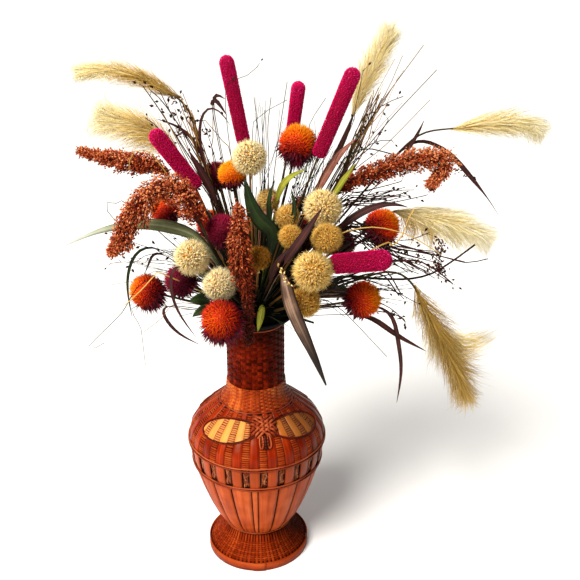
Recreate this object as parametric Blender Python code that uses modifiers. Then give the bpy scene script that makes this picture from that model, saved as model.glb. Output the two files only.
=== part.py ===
# Dried flowers and grasses in a woven bamboo vase.
# Metres, +Z up. The origin is the middle of the vase's foot, on the table. The front is -Y.
import math

import bmesh
import bpy
from mathutils import Matrix, Vector

# ---------------------------------------------------------------- driving dimensions
MOUTH_HEIGHT = 0.335     # table to the vase's rim
NECK_RADIUS = 0.036
BELLY_RADIUS = 0.0870
BELLY_HEIGHT = 0.172
WAIST_RADIUS = 0.043
WAIST_HEIGHT = 0.043
FOOT_RADIUS = 0.067
WALL = 0.003             # woven wall
GAP = 0.0003             # clearance between touching pieces
SEGMENTS = 24            # facets round the vase

HOOP_CORD = 0.0018       # half thickness of the rattan hoops
SHOULDER_CORD = 0.0014
KNOT_CORD = 0.0013
WAIST_CORD = 0.0022
WAIST_RING_RADIUS = 0.0455
WAIST_RING_HEIGHT = 0.0415
LOWER_HOOP_HEIGHT = 0.141
UPPER_HOOP_HEIGHT = 0.1715
SHOULDER_RING_HEIGHT = 0.2265

KNOT_HEIGHT = 0.2155
KNOT_COUNT = 2
FIRST_KNOT_ANGLE = 10    # degrees round from the front
DIAMOND_HALF_SIDE = 0.0100
DIAMOND_HALF_DEPTH = 0.0022
DIAMOND_LIFT = 0.0060    # middle of the diamond, off the vase
TAIL_HEIGHTS = (0.2095, 0.2035, 0.1970)
TAIL_HALVES = (0.0026, 0.0030, 0.0018)
TAIL_LIFT = 0.0045
EYE_START = 4.0          # degrees from the knot
EYE_ENDS = {-1: 70.0, 1: 67.0}    # left eye, right eye
EYE_HEIGHTS = (0.2140, 0.2045)    # middle of an eye at the knot, and at its far end
EYE_HALF = 0.0122         # half the height of an eye
EYE_RISE = 0.0028        # how far an eye lifts to reach the diamond
EYE_POINTS = 16

HUB_HEIGHT = 0.338       # every stem points at this spot in the mouth
FOAM_RADIUS = 0.046
STEM = 0.0015            # half thickness of a flower stem
FINE_STEM = 0.0012       # half thickness of a grass stem

HUB = Vector((0.0, 0.0, HUB_HEIGHT))

# Outside of the vase, rim to waist: (radius, height)
VASE_OUTLINE = (
    (NECK_RADIUS, MOUTH_HEIGHT),
    (NECK_RADIUS, 0.252),
    (0.0372, 0.239),
    (0.0440, 0.228),
    (0.0590, 0.216),
    (0.0745, 0.203),
    (0.0840, 0.188),
    (BELLY_RADIUS, BELLY_HEIGHT),
    (0.0852, 0.153),
    (0.0806, 0.132),
    (0.0730, 0.107),
    (0.0640, 0.082),
    (0.0545, 0.060),
    (WAIST_RADIUS, WAIST_HEIGHT),
)
VASE_FLOOR = ((0.0380, 0.0410), (0.0, 0.0410))
# Liner dish and the foam in it: the flared rim, then the bore inside the neck.
DISH_FLARE = ((0.0495, 0.3465), (0.0485, 0.3440), (0.0385, 0.3370))
DISH_BORE_HEIGHTS = (0.3356, 0.3300, 0.3000)
DISH_WALL = 0.0015
FOAM_DOME = ((0.0176, 0.3805), (0.0325, 0.3705), (0.0425, 0.3556), (0.0450, 0.3478))
FOAM_PLUG_RADIUS = 0.0295
FOAM_PLUG_HEIGHTS = (0.3395, 0.3050)
SKIRT_OUTLINE = (
    (0.0412, 0.0402),
    (0.0440, 0.0330),
    (0.0490, 0.0250),
    (0.0560, 0.0180),
    (0.0640, 0.0118),
    (0.0640, 0.0006),
)
SKIRT_WALL = 0.0025
BAND_HEIGHT = 0.012
BOARD_THICKNESS = 0.004

# Round heads: the middle of the ball, then its radius.
ORANGE_GLOBES = (
    ((0.052, 0.010, 0.554), 0.0225),
    ((-0.024, 0.000, 0.520), 0.0165),
    ((-0.104, 0.004, 0.474), 0.0175),
    ((-0.032, -0.118, 0.390), 0.0225),
    ((-0.124, -0.040, 0.390), 0.0210),
    ((0.128, -0.050, 0.384), 0.0220),
    ((0.152, 0.000, 0.456), 0.0220),
    ((-0.056, 0.086, 0.426), 0.0215),
    ((0.070, 0.110, 0.410), 0.0220),
)
BURGUNDY_GLOBES = (
    ((-0.034, -0.036, 0.464), 0.0185),
    ((-0.084, -0.046, 0.406), 0.0180),
    ((-0.044, 0.030, 0.510), 0.0160),
    ((0.108, 0.062, 0.410), 0.0180),
)
STRAW_BALLS = (
    ((-0.002, -0.030, 0.548), 0.0200),
    ((-0.066, -0.074, 0.446), 0.0205),
    ((-0.036, -0.080, 0.416), 0.0195),
    ((0.080, -0.046, 0.494), 0.0220),
    ((0.084, -0.078, 0.470), 0.0175),
    ((0.068, -0.110, 0.444), 0.0220),
    ((0.040, -0.024, 0.476), 0.0150),
    ((0.044, -0.056, 0.464), 0.0140),
    ((0.060, -0.080, 0.394), 0.0185),
    ((0.008, -0.060, 0.440), 0.0140),
    ((0.018, -0.010, 0.492), 0.0140),
    ((0.030, 0.125, 0.395), 0.0215),
    ((0.000, 0.085, 0.420), 0.0190),
)
# Ball outline above the stem: (place along the stem's line, thickness), both over the radius.
BALL_SHAPE = ((-0.75, 0.66), (0.0, 1.0), (0.7, 0.71), (1.0, 0.25))

# Millet spikes: the lower end, the tip, then half the thickness.
MILLET_SPIKES = (
    ((-0.010, 0.020, 0.550), (-0.030, 0.030, 0.650), 0.0085),
    ((0.046, 0.056, 0.555), (0.054, 0.060, 0.615), 0.0082),
    ((0.075, -0.010, 0.544), (0.115, -0.004, 0.642), 0.0092),
    ((-0.062, -0.020, 0.510), (-0.110, -0.020, 0.576), 0.0094),
    ((0.100, -0.092, 0.446), (0.155, -0.090, 0.450), 0.0120),
)
SPIKE_SHAPE = ((0.06, 0.85), (0.5, 1.0), (0.93, 0.85), (1.0, 0.35))

# Bent heads: points from the stem to the tip, (x, y, z, half thickness).
SORGHUM_HEADS = (
    ((-0.100, 0.020, 0.515, 0.003), (-0.120, 0.020, 0.525, 0.012), (-0.155, 0.025, 0.530, 0.013),
     (-0.185, 0.030, 0.535, 0.009), (-0.205, 0.030, 0.540, 0.003)),
    ((-0.046, -0.062, 0.454, 0.002), (-0.056, -0.060, 0.484, 0.005), (-0.068, -0.058, 0.508, 0.010),
     (-0.087, -0.056, 0.524, 0.013), (-0.111, -0.060, 0.516, 0.014), (-0.131, -0.060, 0.494, 0.012),
     (-0.146, -0.060, 0.466, 0.009), (-0.160, -0.060, 0.444, 0.003)),
    ((0.098, 0.000, 0.500, 0.003), (0.125, 0.002, 0.515, 0.010), (0.170, 0.010, 0.530, 0.012),
     (0.205, 0.016, 0.536, 0.011), (0.226, 0.020, 0.532, 0.004)),
    ((-0.016, -0.050, 0.486, 0.002), (-0.015, -0.062, 0.500, 0.004), (-0.012, -0.078, 0.502, 0.008),
     (-0.012, -0.090, 0.484, 0.012), (-0.010, -0.092, 0.450, 0.013), (-0.004, -0.096, 0.415, 0.008),
     (-0.003, -0.100, 0.352, 0.003)),
    ((0.028, 0.066, 0.420, 0.003), (0.046, 0.108, 0.440, 0.010), (0.060, 0.140, 0.442, 0.013),
     (0.072, 0.168, 0.424, 0.010), (0.080, 0.188, 0.396, 0.003)),
)
PAMPAS_PLUMES = (
    ((-0.066, 0.052, 0.536, FINE_STEM), (-0.072, 0.058, 0.580, FINE_STEM), (-0.082, 0.060, 0.594, 0.002),
     (-0.095, 0.060, 0.600, 0.004), (-0.120, 0.060, 0.614, 0.010), (-0.155, 0.060, 0.626, 0.013),
     (-0.185, 0.060, 0.628, 0.010), (-0.210, 0.060, 0.624, 0.003)),
    ((-0.086, 0.052, 0.520, 0.003), (-0.106, 0.056, 0.543, 0.010), (-0.136, 0.060, 0.562, 0.021),
     (-0.168, 0.060, 0.570, 0.022), (-0.196, 0.060, 0.580, 0.008)),
    ((0.115, 0.040, 0.574, 0.003), (0.126, 0.045, 0.606, 0.009), (0.140, 0.050, 0.635, 0.016),
     (0.155, 0.055, 0.667, 0.014), (0.166, 0.060, 0.694, 0.004)),
    ((0.188, 0.058, 0.546, FINE_STEM), (0.216, 0.057, 0.556, FINE_STEM), (0.234, 0.056, 0.558, 0.003),
     (0.266, 0.054, 0.565, 0.009), (0.300, 0.052, 0.568, 0.017), (0.325, 0.050, 0.566, 0.019),
     (0.350, 0.050, 0.550, 0.004)),
    ((0.168, 0.040, 0.462, 0.003), (0.202, 0.036, 0.456, 0.011), (0.240, 0.030, 0.450, 0.021),
     (0.270, 0.025, 0.440, 0.022), (0.290, 0.020, 0.430, 0.007)),
    ((0.148, -0.030, 0.410, FINE_STEM), (0.172, -0.030, 0.413, FINE_STEM), (0.190, -0.030, 0.396, 0.003),
     (0.202, -0.030, 0.368, 0.012), (0.224, -0.030, 0.330, 0.025), (0.246, -0.030, 0.280, 0.021),
     (0.266, -0.030, 0.234, 0.004)),
    ((-0.022, 0.080, 0.410, 0.003), (-0.036, 0.122, 0.425, 0.009), (-0.054, 0.158, 0.412, 0.019),
     (-0.068, 0.188, 0.380, 0.018), (-0.076, 0.208, 0.335, 0.005)),
)
# Leaves: the turn of the blade about its midrib in degrees, then points from the stem
# to the tip, (x, y, z, half width).
LEAVES = {
    "olive_blade_leaf": (0, (
        (-0.060, -0.030, 0.450, 0.0045), (-0.086, -0.030, 0.464, 0.0065), (-0.120, -0.030, 0.470, 0.0065),
        (-0.160, -0.030, 0.466, 0.0055), (-0.186, -0.030, 0.458, 0.0035), (-0.216, -0.030, 0.444, 0.0012))),
    "green_folded_leaf": (75, (
        (0.024, -0.046, 0.464, 0.0080), (0.011, -0.052, 0.480, 0.0095), (0.000, -0.056, 0.503, 0.0070),
        (-0.006, -0.060, 0.532, 0.0012))),
    "maroon_arching_leaf": (0, (
        (0.178, 0.036, 0.543, 0.0012), (0.202, 0.036, 0.549, 0.0035), (0.220, 0.036, 0.546, 0.0045),
        (0.241, 0.034, 0.529, 0.0055), (0.258, 0.032, 0.508, 0.0045), (0.280, 0.030, 0.484, 0.0024),
        (0.296, 0.030, 0.460, 0.0012))),
    "brown_hanging_leaf": (115, (
        (0.034, -0.096, 0.438, 0.0030), (0.042, -0.114, 0.412, 0.0065), (0.053, -0.120, 0.385, 0.0080),
        (0.069, -0.120, 0.348, 0.0060), (0.084, -0.118, 0.308, 0.0012))),
}


# ---------------------------------------------------------------- collections and materials
for old in list(bpy.data.objects):
    bpy.data.objects.remove(old, do_unlink=True)


def make_collection(name):
    collection = bpy.data.collections.new(name)
    bpy.context.scene.collection.children.link(collection)
    return collection


PARTS = make_collection("dried_grass_arrangement_in_vase")
TOOLS = make_collection("joining_shapes")


def make_material(name, colour, roughness):
    material = bpy.data.materials.new(name)
    material.use_nodes = True
    shader = material.node_tree.nodes["Principled BSDF"]
    shader.inputs["Base Color"].default_value = (*colour, 1.0)
    shader.inputs["Roughness"].default_value = roughness
    shader.inputs["Metallic"].default_value = 0.0
    return material


def place(obj, material, collection=PARTS):
    for owner in list(obj.users_collection):
        owner.objects.unlink(obj)
    collection.objects.link(obj)
    obj.data.materials.clear()
    obj.data.materials.append(material)
    return obj


def use_as_tool(obj):
    obj.hide_render = True
    obj.display_type = "WIRE"
    place(obj, obj.data.materials[0], TOOLS)
    return obj


# ---------------------------------------------------------------- shapes
def turned(name, outline, material, wall=0.0, closed=False):
    """Turn an outline, given top to bottom, about +Z. A wall thickens it inwards."""
    mesh = bpy.data.meshes.new(name)
    verts = [(radius, 0.0, height) for radius, height in outline]
    edges = [(i, i + 1) for i in range(len(verts) - 1)]
    if closed:
        edges.append((len(verts) - 1, 0))
    mesh.from_pydata(verts, edges, [])
    obj = place(bpy.data.objects.new(name, mesh), material)
    screw = obj.modifiers.new("turn", "SCREW")
    screw.axis = "Z"
    screw.steps = SEGMENTS
    screw.render_steps = SEGMENTS
    screw.use_merge_vertices = True
    screw.merge_threshold = 0.00001
    screw.use_smooth_shade = True
    if wall:
        solidify = obj.modifiers.new("wall", "SOLIDIFY")
        solidify.thickness = wall
        solidify.offset = -1.0
        solidify.use_even_offset = True
    return obj


def hoop(name, radius, height, cord, material):
    bpy.ops.mesh.primitive_torus_add(
        major_segments=SEGMENTS, minor_segments=6, major_radius=radius, minor_radius=cord,
        location=(0.0, 0.0, height))
    obj = bpy.context.object
    obj.name = name
    obj.data.shade_smooth()
    return place(obj, material)


def tube(name, points, radii, material, cyclic=False, sides=2):
    """A round solid along points, with its own half thickness at each."""
    curve = bpy.data.curves.new(name, "CURVE")
    curve.dimensions = "3D"
    curve.bevel_depth = 1.0
    curve.bevel_resolution = sides
    curve.use_fill_caps = True
    spline = curve.splines.new("POLY")
    spline.points.add(len(points) - 1)
    spline.use_cyclic_u = cyclic
    for knot, point, radius in zip(spline.points, points, radii):
        knot.co = (*point, 1.0)
        knot.radius = radius
    return place(bpy.data.objects.new(name, curve), material)


def blade(name, points, half_widths, turn, material):
    """A flat leaf: a ribbon with a little thickness, as wide as given at each point."""
    curve = bpy.data.curves.new(name, "CURVE")
    curve.dimensions = "3D"
    curve.extrude = 0.84
    curve.bevel_depth = 0.16
    curve.bevel_resolution = 0
    curve.use_fill_caps = True
    spline = curve.splines.new("POLY")
    spline.points.add(len(points) - 1)
    for knot, point, half_width in zip(spline.points, points, half_widths):
        knot.co = (*point, 1.0)
        knot.radius = half_width
        knot.tilt = math.radians(turn)
    return place(bpy.data.objects.new(name, curve), material)


def as_mesh(obj):
    """Replace a curve by its mesh, with the end caps welded on."""
    depsgraph = bpy.context.evaluated_depsgraph_get()
    mesh = bpy.data.meshes.new_from_object(obj.evaluated_get(depsgraph))
    work = bmesh.new()
    work.from_mesh(mesh)
    bmesh.ops.remove_doubles(work, verts=work.verts, dist=0.00001)
    work.to_mesh(mesh)
    work.free()
    solid = bpy.data.objects.new(obj.name + "_solid", mesh)
    solid.matrix_world = obj.matrix_world
    place(solid, obj.data.materials[0])
    bpy.data.objects.remove(obj, do_unlink=True)
    return solid


def joined(name, first, others):
    """Union of solids, as one mesh."""
    for other in others:
        union = first.modifiers.new("join", "BOOLEAN")
        union.operation = "UNION"
        union.solver = "EXACT"
        union.object = use_as_tool(other)
    bpy.context.view_layer.update()
    depsgraph = bpy.context.evaluated_depsgraph_get()
    mesh = bpy.data.meshes.new_from_object(first.evaluated_get(depsgraph))
    material = first.data.materials[0]
    bpy.data.objects.remove(first, do_unlink=True)
    mesh.name = name
    return place(bpy.data.objects.new(name, mesh), material)


# ---------------------------------------------------------------- the vase
def outline_at(height):
    """Radius of the vase's outside at a height, and the slope there as (outward, up)."""
    for (r_top, z_top), (r_low, z_low) in zip(VASE_OUTLINE, VASE_OUTLINE[1:]):
        if z_low <= height <= z_top:
            share = (height - z_low) / (z_top - z_low)
            out = Vector((z_top - z_low, r_low - r_top)).normalized()
            return r_low + share * (r_top - r_low), out
    raise ValueError("height is off the vase")


def on_vase(angle, height, lift):
    """A point that stands off the vase's outside. The angle is in degrees, from the front."""
    radius, out = outline_at(height)
    turn = math.radians(angle)
    reach = radius + lift * out.x
    return Vector((reach * math.sin(turn), -reach * math.cos(turn), height + lift * out.y))


def vase_hoop(name, height, cord, material):
    radius, out = outline_at(height)
    lift = cord + GAP
    return hoop(name, radius + lift * out.x, height + lift * out.y, cord, material)


def eye_loop(name, angle, side, material):
    """One eye of cord beside the knot: an egg on the shoulder, fuller at its far end, that lifts over the knot."""
    near, far = EYE_HEIGHTS
    points = []
    for i in range(EYE_POINTS):
        turn = 2.0 * math.pi * i / EYE_POINTS
        share = (1.0 - math.cos(turn)) / 2.0
        along = EYE_START + (EYE_ENDS[side] - EYE_START) * share
        height = near + (far - near) * share + EYE_HALF * (0.65 + 0.5 * share) * math.sin(turn)
        rise = EYE_RISE * ((1.0 + math.cos(turn)) / 2.0) ** 3
        points.append(on_vase(angle + side * along, height, KNOT_CORD + 3 * GAP + rise))
    return as_mesh(tube(name, points, [KNOT_CORD] * EYE_POINTS, material, cyclic=True, sides=1))


def knot_cord(material):
    """The front knot: a flat diamond of plaited cord, its two eyes and its tail."""
    centre = on_vase(FIRST_KNOT_ANGLE, KNOT_HEIGHT, DIAMOND_LIFT)
    outward = (on_vase(FIRST_KNOT_ANGLE, KNOT_HEIGHT, 2 * DIAMOND_LIFT) - centre).normalized()
    bpy.ops.mesh.primitive_cube_add(size=2.0)
    diamond = bpy.context.object
    halves = (DIAMOND_HALF_SIDE, DIAMOND_HALF_SIDE, DIAMOND_HALF_DEPTH)
    spin = Vector((0.0, 0.0, 1.0)).rotation_difference(outward).to_matrix().to_4x4()
    quarter = Matrix.Rotation(math.radians(45), 4, "Z")
    diamond.data.transform(Matrix.Translation(centre) @ spin @ quarter @ Matrix.Diagonal((*halves, 1.0)))
    diamond.name = "knot_diamond"
    place(diamond, material)
    tail_points = [on_vase(FIRST_KNOT_ANGLE, height, TAIL_LIFT) for height in TAIL_HEIGHTS]
    tail = as_mesh(tube("knot_tail", tail_points, TAIL_HALVES, material, sides=1))
    eyes = [eye_loop("knot_eye", FIRST_KNOT_ANGLE, side, material) for side in EYE_ENDS]
    return joined("knot_cord_1", diamond, [*eyes, tail])


def build_vase():
    bamboo = make_material("lacquered bamboo", (0.42, 0.10, 0.03), 0.35)
    cord = make_material("rattan cord", (0.30, 0.08, 0.03), 0.45)
    strip = make_material("foot strip", (0.50, 0.16, 0.06), 0.40)
    board = make_material("base board", (0.35, 0.20, 0.10), 0.70)
    black = make_material("black liner", (0.02, 0.02, 0.02), 0.50)
    foam = make_material("black floral foam", (0.03, 0.035, 0.03), 0.95)

    turned("vase_body", VASE_OUTLINE + VASE_FLOOR, bamboo, wall=WALL)
    turned("foot_skirt", SKIRT_OUTLINE, bamboo, wall=SKIRT_WALL)
    band_inside = SKIRT_OUTLINE[-1][0] + GAP
    turned("foot_band",
           ((band_inside, BAND_HEIGHT - GAP), (FOOT_RADIUS, BAND_HEIGHT - GAP),
            (FOOT_RADIUS, 0.0), (band_inside, 0.0)),
           strip, closed=True)
    board_radius = SKIRT_OUTLINE[-1][0] - SKIRT_WALL - 2 * GAP
    turned("base_board",
           ((0.0, BOARD_THICKNESS), (board_radius, BOARD_THICKNESS), (board_radius, 0.0), (0.0, 0.0)),
           board)

    hoop("waist_ring", WAIST_RING_RADIUS, WAIST_RING_HEIGHT, WAIST_CORD, cord)
    vase_hoop("belly_hoop_lower", LOWER_HOOP_HEIGHT, HOOP_CORD, cord)
    vase_hoop("belly_hoop_upper", UPPER_HOOP_HEIGHT, HOOP_CORD, cord)
    vase_hoop("shoulder_ring", SHOULDER_RING_HEIGHT, SHOULDER_CORD, cord)

    first = knot_cord(cord)
    for i in range(1, KNOT_COUNT):
        copy = bpy.data.objects.new(f"knot_cord_{i + 1}", first.data)
        copy.rotation_euler.z = 2.0 * math.pi * i / KNOT_COUNT
        PARTS.objects.link(copy)

    bore = NECK_RADIUS - WALL - 2 * GAP
    sleeve = tuple((bore, height) for height in DISH_BORE_HEIGHTS)
    turned("liner_dish", (*DISH_FLARE, *sleeve, (0.0, DISH_BORE_HEIGHTS[-1])), black, wall=DISH_WALL)
    plug = tuple((FOAM_PLUG_RADIUS, height) for height in FOAM_PLUG_HEIGHTS)
    turned("floral_foam",
           ((0.0, HUB_HEIGHT + FOAM_RADIUS), *FOAM_DOME, *plug, (0.0, FOAM_PLUG_HEIGHTS[-1])),
           foam)


# ---------------------------------------------------------------- the flowers
def planted(name, head, material, stem=STEM):
    """A stem from the foam straight to the head's first point, then the head itself.
    The head is a list of (point, half thickness)."""
    toward = (head[0][0] - HUB).normalized()
    foot = HUB + toward * (FOAM_RADIUS + GAP)
    points = [foot] + [point for point, _ in head]
    radii = [stem] + [radius for _, radius in head]
    return tube(name, points, radii, material)


def ball(name, centre, radius, material):
    centre = Vector(centre)
    toward = (centre - HUB).normalized()
    head = [(centre - toward * radius, STEM)]
    head += [(centre + toward * (radius * along), radius * thick) for along, thick in BALL_SHAPE]
    return planted(name, head, material)


def spike(name, low, tip, radius, material):
    low, tip = Vector(low), Vector(tip)
    head = [(low, STEM)] + [(low.lerp(tip, along), radius * thick) for along, thick in SPIKE_SHAPE]
    return planted(name, head, material)


def bent(name, points, material, stem):
    head = [(Vector(point[:3]), point[3]) for point in points]
    return planted(name, head, material, stem)


def build_flowers():
    orange = make_material("orange petals", (0.75, 0.16, 0.03), 0.80)
    burgundy = make_material("burgundy petals", (0.16, 0.02, 0.05), 0.80)
    straw = make_material("straw bristles", (0.72, 0.58, 0.32), 0.85)
    magenta = make_material("millet seed", (0.40, 0.02, 0.12), 0.80)
    rust = make_material("sorghum seed", (0.38, 0.12, 0.06), 0.80)
    cream = make_material("pampas hair", (0.80, 0.70, 0.45), 0.75)
    balls = (("orange_globe", ORANGE_GLOBES, orange), ("burgundy_globe", BURGUNDY_GLOBES, burgundy),
             ("straw_ball", STRAW_BALLS, straw))
    for family, heads, material in balls:
        for number, (centre, radius) in enumerate(heads, start=1):
            ball(f"{family}_{number}", centre, radius, material)
    for number, (low, tip, radius) in enumerate(MILLET_SPIKES, start=1):
        spike(f"millet_spike_{number}", low, tip, radius, magenta)
    for number, points in enumerate(SORGHUM_HEADS, start=1):
        bent(f"sorghum_head_{number}", points, rust, STEM)
    for number, points in enumerate(PAMPAS_PLUMES, start=1):
        bent(f"pampas_plume_{number}", points, cream, FINE_STEM)


def build_leaves():
    colours = {"olive_blade_leaf": (0.20, 0.20, 0.08), "green_folded_leaf": (0.05, 0.10, 0.02),
               "maroon_arching_leaf": (0.08, 0.02, 0.03), "brown_hanging_leaf": (0.20, 0.10, 0.06)}
    for name, (turn, points) in LEAVES.items():
        material = make_material(name.replace("_", " "), colours[name], 0.65)
        first = Vector(points[0][:3])
        foot = HUB + (first - HUB).normalized() * (FOAM_RADIUS + 2 * GAP)
        route = [foot] + [Vector(point[:3]) for point in points]
        half_widths = [FINE_STEM] + [point[3] for point in points]
        blade(name, route, half_widths, turn, material)


build_vase()
build_flowers()
build_leaves()
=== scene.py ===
import math

import bpy
import numpy as np
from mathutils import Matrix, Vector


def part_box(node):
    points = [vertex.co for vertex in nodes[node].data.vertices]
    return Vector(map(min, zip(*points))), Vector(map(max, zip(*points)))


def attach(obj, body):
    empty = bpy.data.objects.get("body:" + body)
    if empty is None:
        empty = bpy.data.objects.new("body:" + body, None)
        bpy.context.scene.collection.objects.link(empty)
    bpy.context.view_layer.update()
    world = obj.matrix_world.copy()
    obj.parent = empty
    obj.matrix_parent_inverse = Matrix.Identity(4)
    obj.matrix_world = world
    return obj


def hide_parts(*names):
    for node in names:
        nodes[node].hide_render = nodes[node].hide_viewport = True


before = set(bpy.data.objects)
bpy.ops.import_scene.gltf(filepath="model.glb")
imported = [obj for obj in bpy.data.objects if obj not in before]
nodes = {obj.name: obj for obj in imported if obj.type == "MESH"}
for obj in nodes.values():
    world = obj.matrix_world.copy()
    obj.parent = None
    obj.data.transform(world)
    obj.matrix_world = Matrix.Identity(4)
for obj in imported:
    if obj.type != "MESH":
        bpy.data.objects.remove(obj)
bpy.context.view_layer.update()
hub = np.array([0.0, 0.0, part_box("vase_body")[1].z + 0.003])    # where every stem points to
goldenAngle = 2.39996
print("frame loaded:", len(nodes), "nodes")


# the camera, the lamps and the paper floor
view = {"place": (0.0432, -1.03, 0.824), "tip": 66.4, "lens": 57.2, "sensor": 36.0}
studio = {
    "aim": (0.03, 0.0, 0.34), "sky": (1.0, 0.99, 0.97, 1.0), "ambient": 0.20, "floor": 40.0, "paper": 0.84,
    "lamps": {     # name: (kind, place, size, power, colour)
        "windowSun": ("SUN", (-0.60, -0.86, 1.45), 0.55, 5.6, (1.0, 0.96, 0.90)),
        "softBox": ("AREA", (-0.85, -0.65, 1.20), 0.80, 5.0, (1.0, 0.94, 0.83)),
        "softFill": ("AREA", (1.20, -1.30, 0.70), 1.40, 0.4, (0.95, 0.97, 1.0)),
        "backLight": ("AREA", (0.20, 1.20, 1.50), 1.20, 9.0, (1.0, 0.98, 0.95)),
    },
}


def link(thing):
    bpy.context.scene.collection.objects.link(thing)
    return thing


def makeView():
    lens = bpy.data.cameras.new("viewpoint")
    lens.lens = view["lens"]
    lens.sensor_width = view["sensor"]
    camera = link(bpy.data.objects.new("viewpoint", lens))
    camera.location = view["place"]
    camera.rotation_euler = (math.radians(view["tip"]), 0.0, 0.0)
    bpy.context.scene.camera = camera
    bpy.context.scene.view_settings.view_transform = "Standard"


def makeLamps():
    # a soft sun and wide lamps, each turned so that -Z runs from its place to the aim
    for name, (kind, place, size, power, colour) in studio["lamps"].items():
        lamp = bpy.data.lights.new(name, kind)
        lamp.energy, lamp.color = power, colour
        setattr(lamp, "size" if kind == "AREA" else "angle", size)
        holder = link(bpy.data.objects.new(name, lamp))
        holder.location = place
        away = np.array(place) - studio["aim"]
        flatReach = math.hypot(away[0], away[1])
        holder.rotation_euler = (math.atan2(flatReach, away[2]), 0.0, math.atan2(away[0], -away[1]))


def makeSky():
    # white behind the object, and a weak warm light from all sides
    world = bpy.data.worlds.new("studio")
    world.use_nodes = True
    tree = world.node_tree
    white, sky = tree.nodes["Background"], tree.nodes.new("ShaderNodeBackground")
    white.inputs["Color"].default_value = (1.0, 1.0, 1.0, 1.0)
    sky.inputs["Color"].default_value = studio["sky"]
    sky.inputs["Strength"].default_value = studio["ambient"]
    ray, either = tree.nodes.new("ShaderNodeLightPath"), tree.nodes.new("ShaderNodeMixShader")
    tree.links.new(ray.outputs["Is Camera Ray"], either.inputs[0])
    tree.links.new(sky.outputs[0], either.inputs[1])
    tree.links.new(white.outputs[0], either.inputs[2])
    tree.links.new(either.outputs[0], tree.nodes["World Output"].inputs["Surface"])
    bpy.context.scene.world = world


def makeFloor():
    half = studio["floor"] / 2
    mesh = bpy.data.meshes.new("floor")
    mesh.from_pydata([(-half, -half, 0), (half, -half, 0), (half, half, 0), (-half, half, 0)], [],
                     [(0, 1, 2, 3)])
    floor = link(bpy.data.objects.new("floor", mesh))
    paper = bpy.data.materials.new("pale paper")
    paper.use_nodes = True
    paper.node_tree.nodes["Principled BSDF"].inputs["Base Color"].default_value = (*[studio["paper"]] * 3,
                                                                                   1.0)
    paper.node_tree.nodes["Principled BSDF"].inputs["Roughness"].default_value = 0.9
    mesh.materials.append(paper)


class Signal:
    # a socket that Python's operators turn into Math nodes
    def __init__(self, finish, socket):
        self.finish = finish
        self.socket = socket

    def maths(self, operation, first, second):
        return self.finish.maths(operation, first, second)

    def __add__(self, other):
        return self.maths("ADD", self, other)

    def __radd__(self, other):
        return self.maths("ADD", other, self)

    def __sub__(self, other):
        return self.maths("SUBTRACT", self, other)

    def __rsub__(self, other):
        return self.maths("SUBTRACT", other, self)

    def __mul__(self, other):
        return self.maths("MULTIPLY", self, other)

    def __rmul__(self, other):
        return self.maths("MULTIPLY", other, self)

    def __truediv__(self, other):
        return self.maths("DIVIDE", self, other)

    def __pow__(self, other):
        return self.maths("POWER", self, other)

    def above(self, limit):
        return self.maths("GREATER_THAN", self, limit)

    def sine(self):
        return self.maths("SINE", self, 0.0)

    def size(self):
        return self.maths("ABSOLUTE", self, 0.0)


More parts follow.
